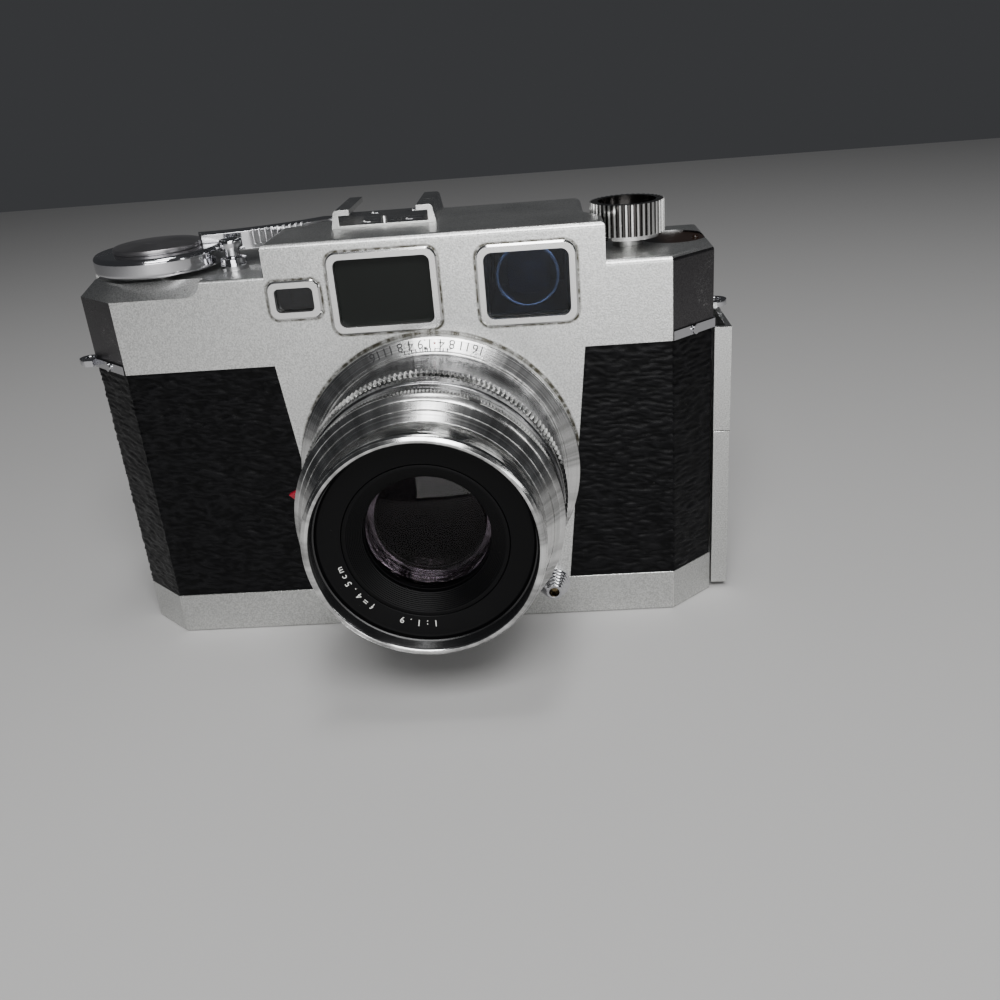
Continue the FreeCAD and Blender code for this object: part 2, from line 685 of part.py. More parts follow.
def name_ring():
    """Black ring that carries the lens data."""
    return turned([(15.75, 35.0), (NAME_RING_R, 35.0), (NAME_RING_R, 36.2), (20.0, 36.2), (15.75, 35.5)])


def lens_baffle():
    """Ridged cone from the data ring down to the front glass."""
    return turned([(12.6, 31.7), (15.6, 34.9), (15.6, 35.5), (15.0, 35.5), (12.1, 32.4), (12.1, 31.7)])


def glass_element(r, s_rear, s_edge, s_vertex):
    """Lens element with a flat rear and a domed front."""
    sag = s_vertex - s_edge
    radius = (r * r + sag * sag) / (2 * sag)
    edge = rod_y(LENS_X, LENS_Z, r, FRONT - s_edge, FRONT - s_rear)
    ball = Part.makeSphere(radius, V(LENS_X, FRONT - s_vertex + radius, LENS_Z))
    dome = ball.common(rod_y(LENS_X, LENS_Z, r, FRONT - s_vertex - 1, FRONT - s_edge + 0.2))
    return edge.fuse(dome).removeSplitter()


def blade_set(count, r_in, r_out, s0, s1):
    """Thin blades side by side round the axis."""
    disc = lens_ring(r_in, r_out, s0, s1) if r_in > 0 else rod_y(LENS_X, LENS_Z, r_out, FRONT - s1, FRONT - s0)
    step = 360.0 / count
    blades = []
    for i in range(count):
        blades.append(disc.common(lever_sector(i * step + 0.6, (i + 1) * step - 0.6, r_out)))
    return Part.makeCompound([blade.Solids[0] for blade in blades])


# ------------------------------------------------------------------ wind lever
def wind_disc():
    """Round hub of the wind lever."""
    disc = post(SPOOL_X, SPOOL_Y, HUB_R, HUB_LOW, HUB_TOP)
    return disc.makeFillet(1.0, top_edges(disc, HUB_TOP) + top_edges(disc, HUB_LOW))


def arm_outline():
    """Plan of the arm: inner curve, tip and outer curve, as three-point arcs and lines."""
    inner = Part.Arc(V(-43.5, 4.6, 0), V(-31.0, 6.6, 0), V(-17.2, 14.2, 0))
    outer = Part.Arc(V(-13.9, 10.9 + 0.6, 0), V(-29.0, 2.2, 0), V(-41.0, -0.6, 0))
    tip = Part.Arc(V(-17.2, 14.2, 0), V(-14.6, 13.6, 0), V(-13.9, 11.5, 0))
    root = Part.LineSegment(V(-41.0, -0.6, 0), V(-43.5, 4.6, 0))
    return Part.Wire([c.toShape() for c in (inner, tip, outer, root)])


def wind_arm():
    """Curved arm that the thumb pulls, with a notched rear edge."""
    wire = arm_outline()
    wire.translate(V(0, 0, ARM_LOW))
    arm = Part.Face(wire).extrude(V(0, 0, ARM_TOP - ARM_LOW))
    arm = arm.cut(post(SPOOL_X, SPOOL_Y, HUB_R + 0.15, 80, HUB_TOP + 0.05))
    arm = arm.cut(post(SPOOL_X, SPOOL_Y, CAP_R + 0.15, 80, 95))
    return arm.cut(box(-50, -18.6, 16.0, 20, 80, 95))


def wind_cap():
    """Domed cap on the hub."""
    ball_r = 60.0
    dome = post(SPOOL_X, SPOOL_Y, CAP_R, HUB_TOP, 89.0)
    ball = Part.makeSphere(ball_r, V(SPOOL_X, SPOOL_Y, 88.3 - ball_r))
    return dome.common(ball)


def wind_shaft():
    """Shaft under the hub, through the cover into the casting."""
    return post(SPOOL_X, SPOOL_Y, 3.2, 62.6, HUB_LOW)


# ------------------------------------------------------------------ rewind side
def rewind_sleeve():
    """Bush that lifts with the knob while the fork leaves the cassette."""
    sleeve = post(CASSETTE_X, CASSETTE_Y, 3.1, 66.0, 82.2)
    return sleeve.cut(post(CASSETTE_X, CASSETTE_Y, 1.55, 60, 90))


def rewind_knob():
    """Fluted knob with a dished top."""
    outline = toothed_disc(CASSETTE_X, CASSETTE_Y, KNOB_R - 0.5, KNOB_R, KNOB_FLUTES)
    knob = prism(outline, KNOB_LOW + 0.8, KNOB_TOP)
    knob = knob.fuse(post(CASSETTE_X, CASSETTE_Y, KNOB_R - 0.8, KNOB_LOW, KNOB_LOW + 0.9))
    knob = knob.cut(post(CASSETTE_X, CASSETTE_Y, KNOB_R - 1.7, KNOB_TOP - 1.1, KNOB_TOP + 1))
    return knob.cut(post(CASSETTE_X, CASSETTE_Y, 1.5, KNOB_LOW - 1, KNOB_TOP - 2.5)).removeSplitter()


def rewind_fork():
    """Shaft of the knob with the fork that turns the cassette spool."""
    shaft = post(CASSETTE_X, CASSETTE_Y, 1.45, 58.0, KNOB_TOP - 2.6)
    fork = post(CASSETTE_X, CASSETTE_Y, 3.0, 56.0, 59.5)
    fork = fork.cut(box(CASSETTE_X - 1.0, CASSETTE_X + 1.0, -20, 20, 55, 58.5))
    return shaft.fuse(fork).removeSplitter()


def reminder_dial():
    """Film-type dial in its well, with a small finger nub."""
    dial = post(DIAL_X, DIAL_Y, DIAL_R, 79.1, 80.3)
    nub = Part.makeSphere(0.7, V(DIAL_X + 4.6, DIAL_Y - 1.5, 80.3))
    return dial.fuse(nub).removeSplitter()


# ------------------------------------------------------------------ back door
def back_door():
    """Back with its wrapped end wall, the upper edge strip and its hinge knuckle."""
    back = box(HINGE_X + 1.8, DOOR_END, DOOR_INNER, DOOR_OUTER, DOOR_LOW, DOOR_TOP)
    end = box(DOOR_END - DOOR_WALL, DOOR_END, DOOR_EDGE, DOOR_OUTER, DOOR_END_LOW, DOOR_TOP)
    end = end.cut(box(DOOR_END_INNER, DOOR_END + 1, DOOR_EDGE - 1, DOOR_EDGE + 1.35, 0, LATCH_TOP + 0.15))
    strip = box(DOOR_END_INNER, DOOR_END, DOOR_EDGE, DOOR_EDGE + DOOR_WALL, LATCH_TOP + 0.2, DOOR_TOP)
    low_wall = box(DOOR_END_INNER, DOOR_END, DOOR_INNER, DOOR_OUTER, DOOR_END_LOW, DOOR_LOW + 0.1)
    tab = box(HINGE_X, HINGE_X + 2.0, DOOR_INNER, DOOR_OUTER, 24.3, 48.7)
    knuckle = post(HINGE_X, HINGE_Y, KNUCKLE_R, 24.3, 48.7)
    door = back.fuse([end, strip, low_wall, tab, knuckle])
    return door.cut(post(HINGE_X, HINGE_Y, PIN_R + 0.06, 0, 100)).removeSplitter()


def back_leatherette():
    """Leather skin on the back."""
    skin = box(HINGE_X + 3.0, 66.0, DOOR_OUTER, REAR, DOOR_LOW + 0.6, DOOR_TOP - 0.6)
    corners = [e for e in skin.Edges if abs(e.tangentAt(e.FirstParameter).y) > 0.9]
    return skin.makeFillet(2.0, corners)


def hinge_bracket():
    """Two fixed knuckles with their leaves on the casting."""
    leaves = []
    for low, high in ((14.0, 24.1), (48.9, 59.0)):
        leaf = box(HINGE_X - 0.7, HINGE_X + 0.7, 12.85, HINGE_Y, low, high)
        leaf = leaf.fuse(post(HINGE_X, HINGE_Y, KNUCKLE_R, low, high))
        leaves.append(leaf.cut(post(HINGE_X, HINGE_Y, PIN_R + 0.01, 0, 100)).removeSplitter())
    return Part.makeCompound(leaves)


def door_hinge_pin():
    """Pin through the knuckles."""
    return post(HINGE_X, HINGE_Y, PIN_R, 13.4, 59.6)


def pressure_plate():
    """Plate that holds the film flat against the rails."""
    return box(LENS_X - 22, LENS_X + 22, FILM_Y + 0.4, FILM_Y + 1.1, LENS_Z - 15.5, LENS_Z + 15.5)


def pressure_spring():
    """Leaf spring of the pressure plate, riveted to the door."""
    bar = box(LENS_X - 16, LENS_X + 16, DOOR_INNER - 0.3, DOOR_INNER, LENS_Z - 4, LENS_Z + 4)
    return bar.cut(box(LENS_X - 11, LENS_X + 11, 10, 20, LENS_Z - 1.5, LENS_Z + 1.5))


def door_latch():
    """Sliding lower half of the edge strip, with the tongue that hooks the casting."""
    strip = box(DOOR_END_INNER, DOOR_END, DOOR_EDGE, DOOR_EDGE + DOOR_WALL, DOOR_END_LOW, LATCH_TOP)
    tongue = box(DOOR_END_INNER + 0.2, DOOR_END_INNER + 1.7, DOOR_EDGE + 1.1, DOOR_EDGE + 3.4, 6.0, LATCH_TOP - 2)
    return strip.fuse(tongue).removeSplitter()


# ------------------------------------------------------------------ film transport
def sprocket():
    """Sprocket with two rows of eight teeth."""
    barrel = post(SPROCKET_X, SPROCKET_Y, SPROCKET_R - 0.8, 13.4, 60.4)
    outline = toothed_disc(SPROCKET_X, SPROCKET_Y, SPROCKET_R, SPROCKET_R + 1.1, 8)
    rows = [prism(outline, low, low + 2.4) for low in (LENS_Z - 15.2, LENS_Z + 12.8)]
    return barrel.fuse(rows).removeSplitter()


def takeup_spool():
    """Slotted core that the film is wound on."""
    spool = post(SPOOL_X, SPOOL_Y, 5.6, 13.0, 61.0)
    for low in (13.0, 59.6):
        spool = spool.fuse(post(SPOOL_X, SPOOL_Y, 8.2, low, low + 1.4))
    slot = box(SPOOL_X - 1.0, SPOOL_X + 1.0, SPOOL_Y - 4.8, SPOOL_Y + 10, 22.0, 52.0)
    return spool.cut(slot).removeSplitter()


def rewind_release():
    """Button in the base that frees the sprocket for rewinding."""
    button = post(SPROCKET_X, SPROCKET_Y, 2.1, 2.6, 12.5).fuse(post(SPROCKET_X, SPROCKET_Y, 2.45, 0.2, 1.1))
    return button.fuse(post(SPROCKET_X, SPROCKET_Y, 2.1, 1.0, 2.7)).removeSplitter()


# ------------------------------------------------------------------ all nodes
def build():
    """Write every node to parts/."""
    os.makedirs("parts", exist_ok=True)
    nodes = {
        "body_casting": body_casting(),
        "base_plate": base_plate(),
        "top_cover": top_cover(),
        "leatherette_left": leatherette(-1),
        "leatherette_right": leatherette(1),
        "viewfinder_tunnel": viewfinder_tunnel(),
        "objective_lens": objective_lens(),
        "beam_splitter": beam_splitter(),
        "rangefinder_mirror": rangefinder_mirror(),
        "eyepiece_frame": eyepiece_frame(),
        "eyepiece_glass": rod_y(EYE_X, EYE_Z, 3.85, REAR + 0.02, REAR + 0.8),
        "accessory_shoe": accessory_shoe(),
        "shoe_screws": shoe_screws(),
        "release_collar": release_collar(),
        "release_button": release_button(),
        "strap_lug_left": strap_lug(-1),
        "strap_lug_right": strap_lug(1),
        "tripod_bush": tripod_bush(),
        "base_screws": base_screws(),
        "pc_socket": pc_socket(),
        "pc_contact": pc_contact(),
        "hinge_bracket": hinge_bracket(),
        "door_hinge_pin": door_hinge_pin(),
        "depth_scale_ring": depth_scale_ring(),
        "helicoid_sleeve": helicoid_sleeve(),
        "focus_ring": focus_ring(),
        "shutter_case": shutter_case(),
        "self_timer_lever": self_timer_lever(),
        "aperture_ring": aperture_ring(),
        "speed_ring": speed_ring(),
        "front_cover_ring": front_cover_ring(),
        "filter_ring": filter_ring(),
        "front_cell": front_cell(),
        "name_ring": name_ring(),
        "lens_baffle": lens_baffle(),
        "front_lens": glass_element(GLASS_R, 27.9, 30.4, 32.4),
        "middle_lens": glass_element(10.5, 20.6, 23.6, 25.2),
        "rear_lens": glass_element(9.9, 2.0, 10.8, 12.6),
        "shutter_blades": blade_set(BLADES_SHUTTER, 0, 14.0, 15.0, 15.25),
        "iris_blades": blade_set(BLADES_IRIS, 11.2, 19.0, 16.8, 17.05),
        "wind_disc": wind_disc(),
        "wind_arm": wind_arm(),
        "wind_cap": wind_cap(),
        "wind_shaft": wind_shaft(),
        "rewind_sleeve": rewind_sleeve(),
        "rewind_knob": rewind_knob(),
        "rewind_fork": rewind_fork(),
        "reminder_dial": reminder_dial(),
        "back_door": back_door(),
        "back_leatherette": back_leatherette(),
        "pressure_plate": pressure_plate(),
        "pressure_spring": pressure_spring(),
        "door_latch": door_latch(),
        "sprocket": sprocket(),
        "takeup_spool": takeup_spool(),
        "rewind_release": rewind_release(),
    }
    for name, x0, x1, z0, z1, _ in windows():
        nodes[name] = window_glass(x0, x1, z0, z1)
    for name, shape in nodes.items():
        save(name, shape)
        print(name, len(shape.Solids), round(shape.Volume), shape.isValid())


build()
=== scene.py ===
"""Looks of a 35 mm rangefinder camera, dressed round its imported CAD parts.

The frame is in metres: +Z up, +X to the right of someone facing the lens, and the lens points along -Y.
Sizes in the classes are millimetres. Rings about the lens axis are given as (radius, distance
ahead of the body's front face), and angles round the lens are clock angles: 0 at the top,
growing clockwise for someone facing the lens.
"""

import json
import logging
import math
from dataclasses import dataclass, field
from enum import Enum
from typing import Callable, Dict, List, Optional, Sequence, Tuple

import bmesh
import bpy
from mathutils import Matrix, Vector, noise

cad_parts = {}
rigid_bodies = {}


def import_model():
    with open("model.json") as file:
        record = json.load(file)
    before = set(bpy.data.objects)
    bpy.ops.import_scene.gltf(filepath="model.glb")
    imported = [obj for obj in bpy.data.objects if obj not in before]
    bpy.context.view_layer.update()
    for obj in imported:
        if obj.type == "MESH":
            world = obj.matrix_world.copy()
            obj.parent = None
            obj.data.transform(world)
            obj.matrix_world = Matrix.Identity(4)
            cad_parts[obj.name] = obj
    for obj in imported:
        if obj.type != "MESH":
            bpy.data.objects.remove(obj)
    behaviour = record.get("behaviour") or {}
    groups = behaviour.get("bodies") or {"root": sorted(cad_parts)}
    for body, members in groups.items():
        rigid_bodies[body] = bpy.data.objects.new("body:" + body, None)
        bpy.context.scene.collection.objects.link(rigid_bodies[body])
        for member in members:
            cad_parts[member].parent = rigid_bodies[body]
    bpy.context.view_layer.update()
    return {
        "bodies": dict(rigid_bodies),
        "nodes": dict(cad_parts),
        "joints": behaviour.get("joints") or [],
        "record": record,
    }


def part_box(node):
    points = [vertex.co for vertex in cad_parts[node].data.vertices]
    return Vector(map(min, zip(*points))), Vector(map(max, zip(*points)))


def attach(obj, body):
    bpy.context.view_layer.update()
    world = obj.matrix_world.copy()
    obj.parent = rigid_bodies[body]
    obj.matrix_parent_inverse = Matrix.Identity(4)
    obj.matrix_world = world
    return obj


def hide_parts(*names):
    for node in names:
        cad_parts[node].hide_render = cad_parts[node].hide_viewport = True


log = logging.getLogger("camera")

MM = 0.001
PER_METRE = 1000.0
FRONT = -16.0  # the body's front face, in mm
LENS_X = 7.2  # the lens axis, in mm
LENS_Z = 38.4
WELD = 1e-7  # merging distance of turned and cut meshes, in metres
CAD_WELD = 2e-6  # merging distance of CAD copies, in metres
FLAT_ANGLE = 0.5  # faces that meet within this many degrees are joined
LETTER_SIZE = 1.38  # font size of letters whose capitals are 1 high
EASE_SHARE = 0.42  # most of a side that one rounded corner may take
Profile = Sequence[Tuple[float, float]]
Colour = Tuple[float, float, float]
Socket = bpy.types.NodeSocket


class Reading(Enum):
    """Which way round the lens a line of engraving runs, seen from the front."""

    CLOCKWISE = 1
    ANTICLOCKWISE = -1


class Axis(Enum):
    """What an outline is turned about."""

    LENS = "lens"
    UPRIGHT = "upright"


class Ink(Enum):
    """Colour of an engraving's filling."""

    BLACK = (0.008, 0.008, 0.009)
    WHITE = (0.80, 0.80, 0.77)
    RED = (0.42, 0.03, 0.02)


# ---------------------------------------------------------------- node helpers
class Sheet:
    """Places and links nodes in one node tree."""

    def __init__(self, tree: bpy.types.NodeTree) -> None:
        """Keep the tree that nodes are added to."""
        self.tree = tree

    def node(self, kind: str, **values: object) -> bpy.types.Node:
        """Add a node and set its plain properties.

        Args:
            kind: Blender's node type, without the ShaderNode prefix.
            values: properties such as operation or blend_type.

        Returns:
            The new node.
        """
        made = self.tree.nodes.new("ShaderNode" + kind)
        for key, value in values.items():
            setattr(made, key, value)
        return made

    def feed(self, socket: Socket, value: object) -> None:
        """Link a socket, or set a plain number, to an input socket.

        Args:
            socket: the input socket.
            value: a socket, or a plain value.
        """
        if isinstance(value, bpy.types.NodeSocket):
            self.tree.links.new(value, socket)
        elif value is not None:
            socket.default_value = value

    def math(self, operation: str, a: object, b: object = None, c: object = None) -> Socket:
        """One Math node.

        Args:
            operation: Blender's name of the operation.
            a: first value or socket.
            b: second value or socket.
            c: third value or socket.

        Returns:
            The node's output.
        """
        made = self.node("Math", operation=operation)
        for socket, value in zip(made.inputs, (a, b, c)):
            self.feed(socket, value)
        return made.outputs[0]

    def vector(self, operation: str, a: object, b: object = None) -> Socket:
        """One Vector Math node: its vector output, or its value for LENGTH and DISTANCE.

        Args:
            operation: Blender's name of the operation.
            a: first value, colour or socket.
            b: second value, colour or socket.

        Returns:
            The node's output.
        """
        made = self.node("VectorMath", operation=operation)
        self.feed(made.inputs[0], a)
        self.feed(made.inputs[1], b)
        return made.outputs["Value" if operation in ("LENGTH", "DISTANCE") else "Vector"]

    def ramp(self, value: Socket, low: float, high: float, start: float = 0.0, end: float = 1.0) -> Socket:
        """Smooth step of a value.

        Args:
            value: what is stepped.
            low: where the step starts.
            high: where the step ends.
            start: result before the step.
            end: result after the step.

        Returns:
            The stepped value.
        """
        made = self.node("MapRange", interpolation_type="SMOOTHSTEP")
        self.feed(made.inputs["Value"], value)
        for key, number in (("From Min", low), ("From Max", high), ("To Min", start), ("To Max", end)):
            made.inputs[key].default_value = number
        return made.outputs["Result"]

    def mix(self, factor: object, a: object, b: object) -> Socket:
        """Mix two colours.

        Args:
            factor: share of the second colour.
            a: first value, colour or socket.
            b: second value, colour or socket.

        Returns:
            The mixed colour.
        """
        made = self.node("Mix", data_type="RGBA")
        self.feed(made.inputs["Factor"], factor)
        for socket, value in ((made.inputs[6], a), (made.inputs[7], b)):
            self.feed(socket, (*value, 1.0) if isinstance(value, tuple) else value)
        return made.outputs[2]

    def noise(self, where: object, scale: float, detail: float = 2.0, rough: float = 0.5) -> Socket:
        """Noise value at a place; scale is in cells per metre.

        Args:
            where: the place, as a socket.
            scale: cells per metre.
            detail: number of finer layers.
            rough: how strong the finer layers are.

        Returns:
            The noise value.
        """
        made = self.node("TexNoise")
        self.feed(made.inputs["Vector"], where)
        made.inputs["Scale"].default_value = scale
        made.inputs["Detail"].default_value = detail
        made.inputs["Roughness"].default_value = rough
        return made.outputs["Fac"]

    def here(self) -> Socket:
        """The shaded point in the object's own coordinates, in metres."""
        return self.node("TexCoord").outputs["Object"]

    def group(self, kind: "Effect", **values: object) -> bpy.types.Node:
        """Place a shared effect and give it this finish's own values.

        Args:
            kind: the effect.
            values: its inputs by name, with underscores for spaces.

        Returns:
            The group's node.
        """
        made = self.node("Group", node_tree=kind.tree())
        for key, value in values.items():
            self.feed(made.inputs[key.replace("_", " ")], value)
        return made


class Effect:
    """A look that several finishes share, kept as one shader node group."""

    title: str = ""
    takes: Dict[str, float] = {}
    gives: Tuple[str, ...] = ()

    def tree(self) -> bpy.types.NodeTree:
        """The node group, made on first use.

        Returns:
            The node group.
        """
        found = bpy.data.node_groups.get(self.title)
        if found:
            return found
        made = bpy.data.node_groups.new(self.title, "ShaderNodeTree")
        for name, value in self.takes.items():
            made.interface.new_socket(name, in_out="INPUT", socket_type="NodeSocketFloat").default_value = value
        for name in self.gives:
            made.interface.new_socket(name, in_out="OUTPUT", socket_type="NodeSocketFloat")
        sheet = Sheet(made)
        given = made.nodes.new("NodeGroupInput")
        results = self.wire(sheet, {name: given.outputs[name] for name in self.takes})
        out = made.nodes.new("NodeGroupOutput")
        for name, socket in results.items():
            made.links.new(socket, out.inputs[name])
        return made

    def wire(self, sheet: Sheet, given: Dict[str, Socket]) -> Dict[str, Socket]:
        """Build the inside of the group and return its outputs by name."""
        raise NotImplementedError


class Grain(Effect):
    """Fine sprayed or blasted grain with a slower cloudiness over it."""

    title = "fine_grain"
    takes = {"Size": 0.15, "Cloud Size": 9.0}
    gives = ("Grain", "Cloud")

    def wire(self, sheet: Sheet, given: Dict[str, Socket]) -> Dict[str, Socket]:
        """Two noises at the sizes asked for, in millimetres.

        Args:
            sheet: helper for the node tree that is being filled.
            given: the group's inputs by name.

        Returns:
            The group's outputs by name.
        """
        out = {}
        for name, size, detail in (("Grain", "Size", 3.0), ("Cloud", "Cloud Size", 4.0)):
            made = sheet.node("TexNoise")
            sheet.feed(made.inputs["Vector"], sheet.here())
            sheet.feed(made.inputs["Scale"], sheet.math("DIVIDE", PER_METRE, given[size]))
            made.inputs["Detail"].default_value = detail
            out[name] = made.outputs["Fac"]
        return out


class Specks(Effect):
    """Scattered dots of dust or dirt, and hairline scratches."""

    title = "specks_and_scratches"
    takes = {"Spacing": 2.2, "Dot Size": 0.06, "Share": 0.5}
    gives = ("Dots", "Scratches")

    def wire(self, sheet: Sheet, given: Dict[str, Socket]) -> Dict[str, Socket]:
        """Random cells carry a dot; thin bands of stretched noise are scratches.

        Args:
            sheet: helper for the node tree that is being filled.
            given: the group's inputs by name.

        Returns:
            The group's outputs by name.
        """
        cells = sheet.node("TexVoronoi", feature="F1")
        sheet.feed(cells.inputs["Vector"], sheet.here())
        sheet.feed(cells.inputs["Scale"], sheet.math("DIVIDE", PER_METRE, given["Spacing"]))
        reach = sheet.math("DIVIDE", given["Dot Size"], given["Spacing"])
        near = sheet.math("LESS_THAN", cells.outputs["Distance"], reach)
        apart = sheet.node("SeparateColor")
        sheet.feed(apart.inputs[0], cells.outputs["Color"])
        chosen = sheet.math("LESS_THAN", apart.outputs[0], given["Share"])
        dots = sheet.math("MULTIPLY", near, chosen)
        lines = []
        for turn in (0.35, 1.15, 2.3):
            mapping = sheet.node("Mapping")
            sheet.feed(mapping.inputs["Vector"], sheet.here())
            mapping.inputs["Rotation"].default_value = (turn, turn * 1.7, turn * 0.6)
            mapping.inputs["Scale"].default_value = (40.0, 900.0, 900.0)
            level = sheet.math("ABSOLUTE", sheet.math("SUBTRACT", sheet.noise(mapping.outputs[0], 1.0, 1.0), 0.5))
            lines.append(sheet.ramp(level, 0.0, 0.006, 1.0, 0.0))
        gate = sheet.ramp(sheet.noise(sheet.here(), 120.0, 1.0), 0.5, 0.62)
        both = sheet.math("MAXIMUM", lines[0], sheet.math("MAXIMUM", lines[1], lines[2]))
        return {"Dots": dots, "Scratches": sheet.math("MULTIPLY", both, gate)}


class RingsAndPaintedStreaks(Effect):
    """Lathe marks about the lens axis as fine rings, and painted reflection streaks that spread out from the axis."""

    title = "lathe_rings_and_painted_streaks"
    round_scale = 6.28
    takes = {"Ring Pitch": 0.12, "Streaks Round": 60.0}
    gives = ("Rings", "Streaks")

    def wire(self, sheet: Sheet, given: Dict[str, Socket]) -> Dict[str, Socket]:
        """Noise over radius and depth for the rings, and noise over direction from the axis for the painted reflection
        streaks.

        Args:
            sheet: helper for the node tree that is being filled.
            given: the group's inputs by name.

        Returns:
            The group's outputs by name.
        """
        from_axis = sheet.vector("SUBTRACT", sheet.here(), (LENS_X * MM, 0.0, LENS_Z * MM))
        flat = sheet.vector("MULTIPLY", from_axis, (1.0, 0.0, 1.0))
        radius = sheet.vector("LENGTH", flat)
        parts = sheet.node("SeparateXYZ")
        sheet.feed(parts.inputs[0], sheet.here())
        along = sheet.math("MULTIPLY", sheet.math("SUBTRACT", radius, parts.outputs[1]), PER_METRE)
        rings = sheet.node("TexNoise", noise_dimensions="1D")
        sheet.feed(rings.inputs["W"], sheet.math("DIVIDE", along, given["Ring Pitch"]))
        rings.inputs["Scale"].default_value = 1.0
        rings.inputs["Detail"].default_value = 2.0
        outward = sheet.vector("NORMALIZE", flat)
        painted_streaks = sheet.node("TexNoise")
        wide = sheet.node("VectorMath", operation="SCALE")
        sheet.feed(wide.inputs[0], outward)
        sheet.feed(wide.inputs[3], sheet.math("DIVIDE", given["Streaks Round"], self.round_scale))
        sheet.feed(painted_streaks.inputs["Vector"], wide.outputs[0])
        painted_streaks.inputs["Scale"].default_value = 1.0
        painted_streaks.inputs["Detail"].default_value = 3.0
        painted_streaks.inputs["Roughness"].default_value = 0.62
        return {"Rings": rings.outputs["Fac"], "Streaks": painted_streaks.outputs["Fac"]}


class RimShadeAndGrime(Effect):
    """Painted contact shade and dirt: a dark line round a rounded rectangle on the front face."""

    title = "rim_shade_and_grime"
    takes = {"Centre X": 0.0, "Centre Z": 0.0, "Half Width": 10.0, "Half Height": 8.0, "Corner": 2.0, "Line": 0.25}
    gives = ("Mask",)

    def wire(self, sheet: Sheet, given: Dict[str, Socket]) -> Dict[str, Socket]:
        """Distance to the outline, in millimetres, turned into a thin line.

        Args:
            sheet: helper for the node tree that is being filled.
            given: the group's inputs by name.

        Returns:
            The group's outputs by name.
        """
        parts = sheet.node("SeparateXYZ")
        sheet.feed(parts.inputs[0], sheet.here())
        sides = []
        for axis, centre, half in ((0, "Centre X", "Half Width"), (2, "Centre Z", "Half Height")):
            away = sheet.math("SUBTRACT", sheet.math("MULTIPLY", parts.outputs[axis], PER_METRE), given[centre])
            straight = sheet.math("SUBTRACT", given[half], given["Corner"])
            sides.append(sheet.math("SUBTRACT", sheet.math("ABSOLUTE", away), straight))
        outside = [sheet.math("MAXIMUM", side, 0.0) for side in sides]
        squares = [sheet.math("MULTIPLY", side, side) for side in outside]
        reach = sheet.math("SQRT", sheet.math("ADD", squares[0], squares[1]))
        inside = sheet.math("MINIMUM", sheet.math("MAXIMUM", sides[0], sides[1]), 0.0)
        distance = sheet.math("SUBTRACT", sheet.math("ADD", reach, inside), given["Corner"])
        line = sheet.math("DIVIDE", sheet.math("ABSOLUTE", distance), given["Line"])
        mask = sheet.ramp(line, 0.2, 1.0, 1.0, 0.0)
        front = sheet.math("LESS_THAN", parts.outputs[1], (FRONT + 0.3) * MM)
        return {"Mask": sheet.math("MULTIPLY", mask, front)}


class EdgeWear(Effect):
    """Worn edges: the faces marked as worn, broken up by noise."""

    title = "edge_wear"
    takes = {"Breakup": 0.5}
    gives = ("Mask",)

    def wire(self, sheet: Sheet, given: Dict[str, Socket]) -> Dict[str, Socket]:
        """The wear attribute times a noise cut at the break-up level.

        Args:
            sheet: helper for the node tree that is being filled.
            given: the group's inputs by name.

        Returns:
            The group's outputs by name.
        """
        marked = sheet.node("Attribute", attribute_name="wear").outputs["Fac"]
        patches = sheet.math("GREATER_THAN", sheet.noise(sheet.here(), 900.0, 3.0), given["Breakup"])
        return {"Mask": sheet.math("MULTIPLY", marked, patches)}


# ---------------------------------------------------------------- finishes
@dataclass(frozen=True)
class Finish:
    """A surface finish. Subclasses wire the nodes that make it theirs."""

    name: str
    colour: Colour
    roughness: float = 0.4
    metallic: float = 0.0
    slot: str = ""
    shine: float = 0.5

    def material(self) -> bpy.types.Material:
        """The finish as a material, made on first use.

        Returns:
            The material.
        """
        title = self.name + "_finish"
        found = bpy.data.materials.get(title)
        if found:
            return found
        made = bpy.data.materials.new(title)
        made.use_nodes = True
        sheet = Sheet(made.node_tree)
        shader = next(n for n in made.node_tree.nodes if n.type == "BSDF_PRINCIPLED")
        shader.inputs["Base Color"].default_value = (*self.colour, 1.0)
        shader.inputs["Metallic"].default_value = self.metallic
        shader.inputs["Roughness"].default_value = self.roughness
        shader.inputs["Specular IOR Level"].default_value = self.shine
        self.wire(sheet, shader)
        made.diffuse_color = (*self.colour, 1.0)
        return made

    def wire(self, sheet: Sheet, shader: bpy.types.Node) -> None:
        """Light wear and grain that any plain finish carries.

        Args:
            sheet: helper for the node tree that is being filled.
            shader: the material's Principled shader.
        """
        grain = sheet.group(Grain(), Size=0.2, Cloud_Size=6.0)
        rough = sheet.math("MULTIPLY_ADD", grain.outputs["Cloud"], 0.16, self.roughness - 0.08)
        sheet.feed(shader.inputs["Roughness"], rough)
        self.relief(sheet, shader, grain.outputs["Grain"], 0.006)

    def relief(self, sheet: Sheet, shader: bpy.types.Node, height: Socket, depth: float) -> None:
        """Bump from a height socket; depth is in millimetres.

        Args:
            sheet: helper for the node tree that is being filled.
            shader: the material's Principled shader.
            height: what is raised, from 0 to 1.
            depth: height of the relief in millimetres.
        """
        bump = sheet.node("Bump")
        bump.inputs["Strength"].default_value = 1.0
        bump.inputs["Distance"].default_value = depth * MM
        sheet.feed(bump.inputs["Height"], height)
        sheet.feed(shader.inputs["Normal"], bump.outputs[0])


